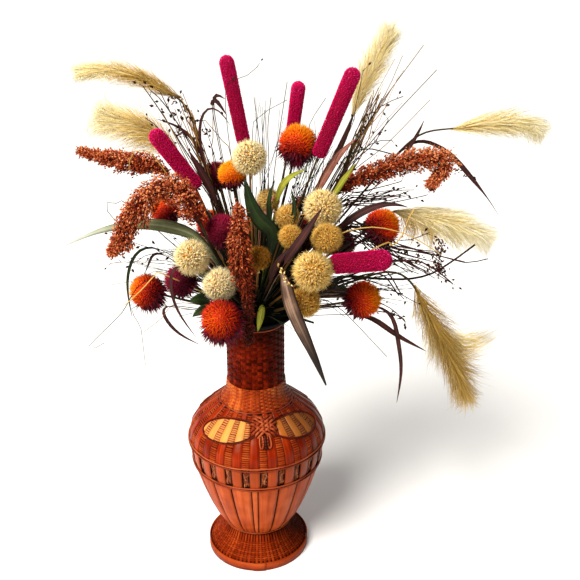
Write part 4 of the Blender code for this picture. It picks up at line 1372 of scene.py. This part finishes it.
# their loose tufts: hairs, share of the length they leave at, tip in mm, its spread, tint, lift in mm
tufts = {
    1: ((60, 0.62, (-168, 52, 640), 7, 1.0, 4), (40, 0.72, (-152, 50, 610), 7, 1.0, 0)),
    2: ((150, 0.42, (-180, 52, 556), 10, 0.80, 0), (160, 0.30, (-157, 50, 540), 9, 0.66, 0),
        (100, 0.14, (-135, 48, 538), 8, 0.50, 0)),
    3: ((110, 0.30, (131, 50, 656), 8, 0.90, 0), (90, 0.55, (148, 54, 680), 8, 0.95, 0),
        (60, 0.70, (166, 58, 690), 6, 0.80, 0)),
    # the low tints of plume 5's lower tufts are partly painted shade of its underside, partly their own
    # greyish colour
    5: ((140, 0.06, (192, 20, 420), 9, 0.40, 0), (170, 0.18, (222, 20, 409), 11, 0.52, 0),
        (120, 0.36, (256, 20, 410), 10, 0.62, 0), (80, 0.08, (286, 36, 446), 9, 1.0, 24)),
    # plume 6's tufts take low tints, partly painted shade
    6: ((150, 0.42, (304, -30, 333), 6, 0.58, 0), (110, 0.50, (284, -30, 306), 9, 0.50, 0),
        (130, 0.55, (283, -30, 270), 8, 0.26, 0), (110, 0.22, (215, -30, 284), 6, 0.60, 0),
        (70, 0.32, (230, -30, 280), 7, 0.42, 0), (34, 0.04, (189, -30, 334), 8, 0.5, 0)),
}
plumeHair = {"radii": 0.0002 * np.array([1.0, 1.0, 0.8, 0.0]), "wild": (0.06, 1.45),
             "stem": (0.0016, 0.0013, 0.0004)}


def addTuft(pile, core, tuft, chance):
    # hairs that part from the plume and meet round one tip, each an arc ahead of where it leaves
    count, share, tip, spread, tint, lift = tuft
    spot, ahead = along(core, np.clip(chance.normal(share, 0.07, count), 0, 0.9))
    starts = spot[:, :3]
    ends = np.array(tip) / 1000 + chance.normal(0, spread / 1000, (count, 3))
    ends = starts + (ends - starts) * chance.uniform(0.68, 1.04, (count, 1))
    bend = starts + ahead * 0.5 * np.linalg.norm(ends - starts, axis=1)[:, None] + (0, 0, lift / 1000)
    paths = arcs(starts, bend, ends, (0.0, 0.35, 0.7, 1.0))
    addRods(pile, paths, plumeHair["radii"], 3, mixedTints(chance, tint, 0.12, count), 1, tip=True)


def makePlume(number):
    # a hair leaves the stem at s and ends at s + reach, off the stem by thickness * sqrt(chance), sagging
    # by t^2
    hairs, forward, droop, full, brush, last, rootTint, endTint = plumes[number]
    chance = np.random.default_rng(500 + number)
    node = f"pampas_plume_{number}"
    route, _ = routeOf(node)
    start = headOf(route)
    core = smoothPath(route[start:], 60)[:int(60 * last)]
    total = lengthAlong(core[:, :3])[-1]
    pile = Pile()
    thick = np.interp(np.linspace(0, 1, 40), (0.0, 0.6, 1.0), plumeHair["stem"])
    addRods(pile, stemPath(route, start, core)[None], thick, 6, 0.3)
    share = chance.random(hairs) ** 0.8 * 0.95
    length = forward * chance.uniform(0.45, 1.1, hairs)
    end = share + length / total
    over = np.maximum(end - 1.0, 0) * total
    spot, ahead = along(core, share)
    goal, onward = along(core, end)
    goal[:, :3] += onward * (0.15 * over + 0.004 * chance.random(hairs) * (over > 0))[:, None]
    around = chance.uniform(0, 2 * math.pi, (hairs, 1))
    side = unit(np.cross(onward, (0.1, 0.2, 1.0)))
    out = np.cos(around) * side + np.sin(around) * np.cross(onward, side)
    widest = np.maximum(goal[:, 3:], brush * core[:, 3].max() * np.clip(end[:, None] * 3.5 - 0.6, 0, 1))
    fewWild, wildReach = plumeHair["wild"]
    wild = np.where(chance.random((hairs, 1)) < fewWild, wildReach, 1.0)
    reach = np.maximum(widest, 0.003) * full * wild * np.sqrt(chance.uniform(0.0, 1.1, (hairs, 1)))
    tips = goal[:, :3] + out * reach
    bend = spot[:, :3] + ahead * (length * 0.45)[:, None] + out * reach * 0.5
    t = np.array([0.0, 0.3, 0.65, 1.0])[:, None]
    sag = (droop * length * chance.uniform(0.5, 1.3, hairs))[:, None, None]
    paths = arcs(spot[:, :3], bend, tips, t) - np.array([0, 0, 1.0]) * sag * t**2
    paths = paths + chance.normal(0, 0.0009, paths.shape) * t
    tint = mixedTints(chance, rootTint + (endTint - rootTint) * share**1.4, 0.14, hairs)
    addRods(pile, paths, plumeHair["radii"], 3, tint, 1, tip=True)
    for tuft in tufts.get(number, ()):
        addTuft(pile, core, tuft, chance)
    pile.make(node + "_hairs", ["stem", "pampas"], [node])


# leaves
def addBlade(pile, path, half, side, fold=0.25, thickness=0.0005, tint=0.5, kind=0, ripple=0.0):
    # leaf section: half * across * side + lift, lift = fold * half * |across|, closed under
    across = np.array([-1.0, -0.55, 0.0, 0.55, 1.0, 0.55, 0.0, -0.55])
    under = np.array([0, 0, 0, 0, 0, 1.0, 1.0, 1.0])
    way = unit(np.gradient(path, axis=0))
    side = unit(side - way * (side * way).sum(1, keepdims=True))
    up = np.cross(side, way)
    half = np.asarray(half)[:, None]
    wave = ripple * half * np.sin(np.linspace(0, 9, len(path)))[:, None] * across
    lift = fold * half * np.abs(across) - thickness * under + wave
    rings = path[:, None] + (half * across)[..., None] * side[:, None] + lift[..., None] * up[:, None]
    places = np.stack(np.broadcast_arrays(0.5 + 0.5 * across, 10 * lengthAlong(path)[:, None]), -1)
    addRings(pile, rings[None], places[None], tint, kind)


frameLeaves = {      # node: finish, slot, fold, ripple, shares of the length, share of the width at each
    "olive_blade_leaf": ("olive", "olive_leaf", 0.22, 0.05, (0, 0.5, 0.7, 1), (1, 1.15, 0.8, 0.5)),
    "green_folded_leaf": ("green", "green_leaf", 0.35, 0.10, (0, 0.3, 0.45, 1), (0.4, 0.4, 1, 1)),
    "maroon_arching_leaf": ("maroon", "maroon_leaf", 0.30, 0.08, (0.6, 0.7, 0.86, 0.93, 1),
                            (1, 0.55, 0.66, 0.3, 0.2)),
    "brown_hanging_leaf": ("brown", "brown_leaf", 0.28, 0.12, (0, 0.36, 0.42, 0.50, 0.62, 0.8, 1),
                           (0.4, 0.35, 1.1, 1.3, 1.0, 0.78, 0.8)),
}


def makeFrameLeaves():
    # a blade along each packed leaf, half its width being the ring's reach * the share there
    for node, (look, slot, fold, ripple, shares, widths) in frameLeaves.items():
        route, ways = routeOf(node, 6)
        path = eased(smoothPath(np.hstack([route, ways]), 44), 6)
        half = np.maximum(path[:, 3], 0.0003) * np.interp(np.linspace(0, 1, 44), shares, widths)
        pile = Pile("strip")
        addBlade(pile, path[:, :3], half, path[:, 4:], fold, ripple=ripple)
        pile.make(node + "_blade", [look], [node])
    print("leaves made")


# loose blades, stems and bud sprays; places are millimetres from the middle of the foot
looseLeaves = [      # finish, half width in mm, points; the leaf is carried to the foam by a thin stalk
    ("maroon", 4.6, (-46, -10, 500), (-58, -10, 524), (-72, -10, 552)),
    ("pinkBract", 4.8, (77, 0, 505), (88, 0, 529), (102, 0, 548), (118, 0, 562)),
    ("maroon", 3.0, (95, 30, 530), (108, 30, 554), (117, 30, 582)),
    ("maroon", 4.2, (100, -30, 465), (125, -30, 484), (146, -30, 495), (166, -30, 496), (178, -30, 490)),
    ("maroon", 4.6, (40, -95, 452), (54, -95, 473), (66, -95, 492), (78, -95, 512)),
    ("maroon", 3.0, (130, -50, 364), (150, -50, 352), (168, -50, 338), (206, -50, 316)),
    ("maroon", 2.4, (154, -50, 377), (170, -50, 331), (179, -50, 297), (174, -50, 245)),
    ("lime", 3.6, (30, -20, 504), (42, -20, 524), (62, -20, 532)),
    ("lime", 3.6, (94, -10, 500), (106, -10, 518), (118, -10, 536)),
    ("green", 1.5, (-118, -30, 446), (-147, -30, 413), (-150, -30, 387), (-146, -30, 350)),
    ("maroon", 1.3, (-108, -40, 440), (-118, -40, 426), (-126, -40, 412)),
    ("maroon", 1.6, (-102, -70, 386), (-100, -70, 369), (-90, -70, 351), (-62, -70, 335)),
    ("maroon", 1.6, (-80, -90, 447), (-90, -90, 419), (-85, -90, 389), (-64, -90, 355)),
    ("maroon", 2.0, (181, 30, 539), (191, 30, 560), (199, 30, 576)),
    ("lime", 4.0, (11, -47, 376), (8, -50, 358), (5, -50, 342)),
    ("maroon", 1.7, (-62, 20, 543), (-73, 20, 561), (-86, 20, 574), (-110, 20, 580)),
    ("maroon", 1.3, (-57, 0, 537), (-60, 0, 570), (-59, 0, 598), (-46, 0, 607), (-35, 0, 602),
     (-25, 0, 578)),
    ("green", 7.0, (-52, -80, 396), (-60, -90, 404), (-70, -92, 400)),
    ("green", 6.0, (-48, -86, 388), (-56, -96, 392), (-66, -98, 384)),
    ("green", 3.0, (20, -30, 470), (18, -34, 500), (26, -30, 522)),
    ("green", 3.2, (36, -30, 452), (50, -34, 486), (44, -30, 512)),
    ("maroon", 3.4, (22, -70, 420), (30, -82, 446), (46, -80, 462)),
    ("pinkBract", 3.2, (2, -14, 470), (6, -20, 482), (8, -22, 495)),
    ("maroon", 2.4, (-48, 20, 601), (-38, 18, 598), (-29, 16, 585)),
    ("maroon", 2.0, (-46, 20, 602), (-37, 18, 607), (-31, 16, 604)),
    ("pinkBract", 3.4, (10, -14, 470), (17, -20, 485), (25, -22, 501)),
    ("pinkBract", 2.6, (8, -12, 468), (18, -18, 476), (27, -20, 482)),
]
looseStems = [       # finish, thickness in mm, buds, points
    ("needle", 0.7, 0, (-114, -60, 413), (-154, -60, 369), (-193, -60, 329), (-188, -60, 325),
     (-176, -60, 332)),
    ("needle", 0.6, 0, (-133, -60, 381), (-131, -60, 349), (-129, -60, 303)),
    ("stem", 0.6, 0, (-81, -80, 393), (-105, -80, 372), (-125, -80, 356)),
    ("stem", 0.5, 0, (-102, -40, 414), (-134, -40, 404), (-167, -40, 398)),
    ("needle", 0.8, 0, (-144, 0, 480), (-160, 0, 485), (-172, 0, 485), (-171, 0, 474), (-158, 0, 458)),
    ("stem", 0.8, 3, (-45, 20, 525), (-46, 20, 560), (-45, 20, 590)),
    ("stem", 0.8, 3, (-25, 20, 531), (-36, 20, 555), (-55, 20, 579)),
    ("stem", 0.8, 0, (91, 20, 495), (135, 20, 579), (192, 20, 663)),
    ("stem", 0.8, 0, (97, 30, 492), (154, 30, 570), (210, 30, 634)),
    ("stem", 0.7, 0, (97, 20, 495), (154, 20, 549), (203, 20, 602)),
    ("stem", 0.6, 0, (110, 60, 520), (155, 60, 599), (174, 60, 645)),
    ("needle", 0.7, 0, (11, 0, 513), (7, 0, 572), (3, 0, 609)),
    ("needle", 0.7, 0, (18, 0, 513), (18, 0, 572), (22, 0, 609)),
    ("needle", 0.7, 0, (11, 0, 513), (11, 0, 549), (15, 0, 595)),
    ("needle", 0.7, 0, (24, 10, 513), (30, 10, 560), (40, 10, 624)),
    ("needle", 0.6, 0, (0, 10, 560), (10, 10, 586), (40, 10, 604)),
    ("needle", 0.6, 0, (60, 20, 540), (66, 20, 574), (84, 20, 604)),
    ("bud", 1.1, 13, (-46, 20, 482), (-79, 20, 543), (-106, 20, 590), (-124, 20, 618)),
    ("bud", 1.1, 12, (-46, 30, 485), (-74, 30, 547), (-101, 30, 594), (-117, 30, 611)),
    ("bud", 1.0, 11, (-43, 10, 498), (-66, 10, 546), (-91, 10, 587), (-103, 10, 613)),
    ("bud", 1.0, 10, (-46, 0, 483), (-83, 0, 537), (-104, 0, 572), (-120, 0, 586)),
    ("bud", 0.9, 8, (-36, 20, 482), (-56, 20, 540), (-76, 20, 580), (-84, 20, 604)),
    ("bud", 0.9, 12, (90, 0, 495), (114, 0, 537), (140, 0, 558), (159, 0, 560)),
    ("bud", 0.9, 11, (89, -20, 501), (111, -20, 537), (135, -20, 559), (152, -20, 588)),
    ("bud", 1.0, 14, (55, 0, 400), (115, 0, 411), (188, 0, 411), (240, 0, 383)),
    ("bud", 0.9, 12, (91, 0, 433), (139, 0, 433), (199, 0, 426), (224, 0, 411)),
    ("bud", 0.9, 12, (101, -20, 465), (136, -20, 453), (178, -20, 446), (206, -20, 456)),
    ("bud", 0.8, 11, (91, 10, 470), (126, 10, 480), (160, 10, 496), (188, 10, 498)),
    ("bud", 1.2, 0, (110, -10, 438), (180, -10, 430), (227, -10, 421), (243, -10, 416), (257, -10, 414),
     (279, -10, 419)),
    ("bud", 2.0, 0, (100, -10, 394), (151, -10, 393), (186, -10, 393), (213, -10, 400), (238, -10, 417),
     (262, -10, 437)),
    ("bud", 1.5, 0, (120, -20, 404), (150, -20, 409), (161, -20, 403), (176, -20, 378)),
    ("bud", 1.5, 0, (118, -20, 398), (146, -20, 404), (158, -20, 398), (174, -20, 375)),
    ("bud", 1.1, 0, (110, -20, 396), (151, -20, 390), (172, -20, 379), (180, -20, 371)),
    ("bud", 1.6, 11, (110, -20, 424), (162, -20, 420), (194, -20, 420), (218, -20, 407), (237, -20, 391)),
    ("bud", 1.2, 6, (100, -30, 366), (151, -30, 359), (167, -30, 356), (180, -30, 349)),
    ("pampas", 0.9, 0, (80, -50, 452), (125, -60, 476), (166, -60, 471), (192, -60, 458),
     (214, -60, 444)),
    ("pampas", 1.3, 0, (146, -20, 438), (158, -52, 452), (166, -60, 461), (171, -60, 473),
     (176, -60, 490), (181, -60, 498)),
    ("pampas", 1.0, 0, (-70, -10, 480), (-104, -20, 538), (-114, -20, 551), (-127, -20, 555),
     (-136, -20, 546), (-139, -20, 531)),
    ("pampas", 1.0, 0, (-100, -70, 424), (-111, -72, 421), (-125, -72, 406), (-146, -72, 386)),
    ("bud", 1.1, 10, (95, 5, 476), (133, 5, 491), (163, 5, 492), (182, 5, 498)),
    ("bud", 1.0, 9, (100, 5, 486), (122, 5, 496), (149, 5, 503), (173, 5, 510)),
    ("bud", 1.0, 9, (92, 5, 470), (134, 5, 480), (163, 5, 484), (203, 5, 493)),
    ("bud", 0.8, 7, (118, 10, 550), (141, 10, 591), (158, 10, 603), (171, 10, 608)),
    ("needle", 1.3, 0, (95, 0, 520), (107, 0, 539), (120, 0, 548), (136, 0, 550), (160, 0, 544)),
    ("bud", 1.0, 10, (90, -50, 396), (131, -50, 386), (160, -50, 373), (179, -50, 355)),
    ("bud", 0.9, 9, (70, -40, 380), (120, -50, 392), (158, -50, 396), (190, -50, 380)),
    ("needle", 0.7, 0, (76, -60, 388), (95, -60, 381), (113, -60, 365), (158, -60, 314)),
    ("needle", 0.6, 0, (76, -60, 388), (90, -60, 380), (107, -60, 366)),
    ("bud", 0.6, 4, (106, 0, 560), (116, 0, 595), (124, 0, 639)),
    ("bud", 0.6, 7, (-52, 0, 439), (-100, 0, 426), (-136, 0, 433), (-170, 0, 449)),
    ("bud", 0.6, 6, (-52, 0, 426), (-89, 0, 411), (-113, 0, 413), (-149, 0, 411)),
    ("bud", 0.7, 9, (-60, -10, 424), (-119, -20, 429), (-140, -20, 418), (-152, -20, 419),
     (-169, -20, 417)),
    ("bud", 0.6, 5, (-30, 10, 600), (-8, 10, 628), (6, 10, 640)),
    ("bud", 0.7, 4, (-38, 20, 500), (-46, 20, 540), (-54, 20, 568), (-58, 20, 580)),
    ("needle", 2.4, 0, (44, -28, 354), (58, -30, 349), (72, -30, 344)),
]
fans = [        # stalks, finish, thickness, tints, reach of their feet, then of their tips: middle, spread
    (16, "stem", 0.0008, (0.45, 0.9), (-40, 8, 470), (8, 10, 6), (-84, 20, 585), (22, 12, 24)),
    (10, "needle", 0.0007, (0.0, 0.5), (58, 0, 490), (12, 10, 8), (80, 0, 552), (16, 12, 16)),
    (9, "needle", 0.0004, (0.1, 0.5), (12, 0, 500), (8, 8, 8), (18, 5, 598), (22, 10, 22)),
    (9, "stem", 0.0005, (0.3, 0.9), (90, 15, 490), (6, 8, 6), (160, 20, 610), (26, 15, 34)),
    (16, "needle", 0.0006, (0.0, 0.6), (70, -30, 390), (8, 12, 12), (180, -20, 400), (34, 20, 34)),
    (8, "needle", 0.0004, (0.1, 0.6), (-60, -30, 400), (8, 15, 10), (-130, -40, 420), (25, 20, 30)),
    (14, "needle", 0.0005, (0.1, 0.6), (46, 0, 470), (16, 12, 12), (68, 0, 560), (22, 15, 25)),
    (14, "stem", 0.0009, (0.3, 0.75), (100, 10, 506), (7, 8, 6), (143, 12, 608), (12, 8, 16)),
    (12, "bud", 0.0008, (0.0, 0.7), (100, 5, 478), (6, 8, 8), (176, 8, 496), (20, 10, 14)),
    (16, "bud", 0.0010, (0.0, 0.7), (106, -10, 460), (8, 8, 16), (205, -8, 414), (34, 12, 22)),
    (10, "needle", 0.0012, (0.0, 0.4), (-20, -20, 400), (10, 10, 12), (-42, -30, 455), (14, 12, 16)),
]
seedHeads = [     # finish, seeds, spread in mm, points along the head
    ("bud", 150, 3.4, (219, -10, 440), (222, -10, 430), (220, -10, 421), (219, -10, 411),
     (227, -10, 399)),
    ("bud", 9, 1.3, (172, -30, 426), (178, -30, 425)),
    ("bud", 9, 1.3, (190, -30, 424), (196, -30, 424)),
    ("bud", 9, 1.3, (204, -30, 419), (209, -30, 416)),
    ("bud", 8, 1.2, (165, -30, 356), (170, -30, 355)),
    ("bud", 8, 1.2, (174, -30, 350), (180, -30, 348)),
    ("bud", 14, 2.4, (-93, 20, 600), (-85, 20, 605)),
    ("bud", 10, 2.2, (-93, 20, 586), (-88, 20, 583)),
    ("bud", 12, 2.2, (-79, 20, 596), (-76, 20, 588)),
    ("bud", 14, 2.4, (-88, 20, 563), (-82, 20, 562)),
    ("bud", 12, 2.6, (-73, 20, 583), (-70, 20, 578)),
    ("bud", 12, 2.4, (-56, 20, 566), (-52, 20, 562)),
    ("bud", 34, 2.2, (221, 20, 524), (235, 20, 521), (249, 20, 514), (263, 20, 505)),
    ("bud", 26, 2.0, (151, -10, 430), (176, -10, 427), (204, -10, 420)),
    ("bud", 30, 1.8, (118, 12, 556), (130, 12, 580), (142, 12, 598)),
    ("pampas", 16, 1.0, (29, -118, 457), (34, -118, 449), (38, -120, 441), (44, -122, 432)),
    ("pampas", 3, 1.5, (4, -76, 428), (9, -76, 430), (14, -76, 434)),
]
backSide = {"turns": (0.42, 1.58), "needles": 560, "sprays": 16, "sprayBuds": 10, "leaves": 20}


def carried(points):
    # millimetres to metres, with a first point in the foam
    points = np.array(points, float) / 1000
    return np.vstack([hub + 0.036 * unit(points[0] - hub), points])


def wander(chance, turn, rise, length, droop):
    # start + way * length * t - droop * length * t^2, with a little bend to one side
    way = np.array([math.sin(turn) * math.cos(rise), -math.cos(turn) * math.cos(rise), math.sin(rise)])
    side = unit(np.cross(way, (0, 0, 1.0)))
    t = np.linspace(0, 1, 5)[:, None]
    sway = chance.normal(0, 0.06) * length
    return hub + way * (0.034 + length * t) + side * sway * t**2 - np.array([0, 0, droop * length]) * t**2


def leafHalf(share, start, widest):
    # thin stalk up to the start, then sin(pi u^0.75) out to the tip
    u = np.clip((share - start) / (1 - start), 0, 1)
    return 0.0005 + widest * np.sin(math.pi * u**0.75) ** 0.9 - 0.0003 * u


def addLeaf(pile, points, widest, kind, start, chance):
    # a blade along the points, its width across the way that it faces
    path = eased(smoothPath(points, 26), 5)
    way = unit(np.gradient(path, axis=0))
    toward = np.array([chance.normal(0.05, 0.25), -0.9, 0.42])
    addBlade(pile, path, leafHalf(np.linspace(0, 1, 26), start, widest), np.cross(way, toward),
             chance.uniform(0.15, 0.4), tint=chance.random(), kind=kind, ripple=0.1)


def addBuds(pile, path, count, kind, chance):
    # buds on short stalks along the outer part of a stem, to alternate sides
    share = np.linspace(0.42, 1.0, count) + chance.normal(0, 0.01, count)
    spot, ahead = along(path, np.clip(share, 0, 1))
    side = unit(np.cross(ahead, (0.1, -1.0, 0.3))) * np.where(np.arange(count) % 2, 1, -1)[:, None]
    way = unit(ahead + side * chance.uniform(0.4, 1.1, (count, 1)) + chance.normal(0, 0.3, ahead.shape))
    reach = chance.uniform(0.003, 0.010, (count, 1))
    addSpikes(pile, spot, spot + way * reach, 0.0005, 0.3, kind)
    size = chance.uniform(0.0040, 0.0066, count)
    middles = spot + way * (reach + size[:, None] * 0.4)
    addSeeds(pile, middles, way, size, size * 0.6, chance.uniform(0, 0.6, count), kind)


leafLooks = ["maroon", "pinkBract", "brown", "lime", "green", "olive"]


def makeLooseLeaves(chance):
    # the leaf starts at 0.9 of its stalk's share of the length
    pile = Pile("strip")
    for look, widest, *points in looseLeaves:
        path = carried(points)
        lengths = lengthAlong(path)
        start = lengths[1] / lengths[-1] * 0.9
        addLeaf(pile, path, widest / 1000, leafLooks.index(look), start, chance)
    for number in range(backSide["leaves"]):
        turn = chance.uniform(*backSide["turns"]) * math.pi
        rise, length, droop = chance.uniform(0.35, 1.25), chance.uniform(0.08, 0.15), chance.uniform(0.05,
                                                                                                     0.4)
        path = wander(chance, turn, rise, length, droop)
        addLeaf(pile, path, chance.uniform(0.003, 0.006), number % len(leafLooks), 0.3, chance)
    pile.make("loose_leaves", leafLooks)


stemLooks = ["needle", "stem", "bud", "pampas"]


def addLooseStems(pile, chance):
    for look, thickness, buds, *points in looseStems:
        path = smoothPath(carried(points), 22)
        tint = chance.uniform(0.3, 0.7) if look == "stem" else chance.uniform(0.1, 0.45)
        radii = thickness / 1100 * np.linspace(1.1, 0.6, 22)
        addRods(pile, path[None], radii, 5, tint, stemLooks.index(look))
        if buds:
            addBuds(pile, path, buds, stemLooks.index("bud"), chance)
    for _ in range(backSide["sprays"]):
        turn, rise = chance.uniform(0.4, 1.6) * math.pi, chance.uniform(0.4, 1.3)
        length, droop = chance.uniform(0.10, 0.18), chance.uniform(0.0, 0.3)
        path = smoothPath(wander(chance, turn, rise, length, droop), 16)
        radii = 0.0005 * np.linspace(1.2, 0.4, 16)
        addRods(pile, path[None], radii, 5, chance.uniform(0.1, 0.6), stemLooks.index("bud"))
        addBuds(pile, path, backSide["sprayBuds"], stemLooks.index("bud"), chance)


def addFans(pile, chance):
    # each stalk goes from a foot to a tip, both scattered round their middles, by way of a point between
    for count, look, thickness, tints, footMiddle, footSpread, tipMiddle, tipSpread in fans:
        feet = chance.normal(footMiddle, np.array(footSpread) / 2, (count, 3))
        tips = chance.normal(tipMiddle, np.array(tipSpread) / 2, (count, 3))
        for start, end in zip(feet, tips):
            middle = (start + end) / 2 + chance.normal(0, 4, 3)
            path = smoothPath(carried([start, middle, end]), 12)
            radii = thickness * np.linspace(1.2, 0.5, 12)
            addRods(pile, path[None], radii, 4, chance.uniform(*tints), stemLooks.index(look))


def addSeedHeads(pile, chance):
    for look, count, spread, *points in seedHeads:
        spot, ahead = along(smoothPath(np.array(points) / 1000, 12), chance.random(count))
        middles = spot + chance.normal(0, spread / 1000, spot.shape)
        ways = ahead + chance.normal(0, 0.5, spot.shape)
        lengths, widths = chance.uniform(0.003, 0.006, count), chance.uniform(0.0014, 0.0026, count)
        tints = chance.uniform(0, 0.9, count)
        addSeeds(pile, middles, ways, lengths, widths, tints, stemLooks.index(look))


def addNeedles(pile, chance):
    # fine dark needles fill the middle, their near-black partly painted shade of the bouquet's inside: length
    # * (1 - 0.35 front) * (0.6 + 0.4 sin(rise)), so the front ones are short
    for _ in range(backSide["needles"]):
        turn = chance.uniform(0, 2 * math.pi)
        front = max(0.0, math.cos(turn))
        rise = chance.uniform(0.35, 1.5)
        length = chance.uniform(0.05, 0.17) * (1 - 0.35 * front) * (0.6 + 0.4 * math.sin(rise))
        path = smoothPath(wander(chance, turn, rise, length, chance.uniform(-0.05, 0.25)), 5)
        radii = chance.uniform(0.0004, 0.0008) * np.linspace(1.2, 0.3, 5)
        addRods(pile, path[None], radii, 3, chance.uniform(0.0, 0.55), stemLooks.index("needle"))


def makeGrasses():
    chance = np.random.default_rng(700)
    makeLooseLeaves(chance)
    pile = Pile()
    addLooseStems(pile, chance)
    addFans(pile, chance)
    addSeedHeads(pile, chance)
    addNeedles(pile, chance)
    pile.make("loose_grasses", stemLooks)
    print("grasses made")


# make everything
makeView()
makeLamps()
makeSky()
makeFloor()
makeFinishes()
vaseWall = Wall("vase_body")
makeBacking(vaseWall)
makeSlats(vaseWall)
makeRungs(vaseWall)
makeFiller(vaseWall)
makeWeaves(vaseWall)
makeHoops(vaseWall)
makeKnots(vaseWall)
makeFoot()
makeBand()
makeLiner()
for ballNumber, ballTint in enumerate(straw["tints"], start=1):
    makeStrawBall(ballNumber, ballTint)
for family, values in globes.items():
    for globeNumber in range(1, len(values[-1]) + 1):
        makeGlobe(family, globeNumber)
print("round heads made")
for headNumber in range(1, 6):
    makeMillet(headNumber)
    makeSorghum(headNumber)
for plumeNumber in plumes:
    makePlume(plumeNumber)
print("spikes, sorghum and plumes made")
makeFrameLeaves()
makeGrasses()

print("triangles:", sum(faceTotals), "largest:", max(faceTotals))
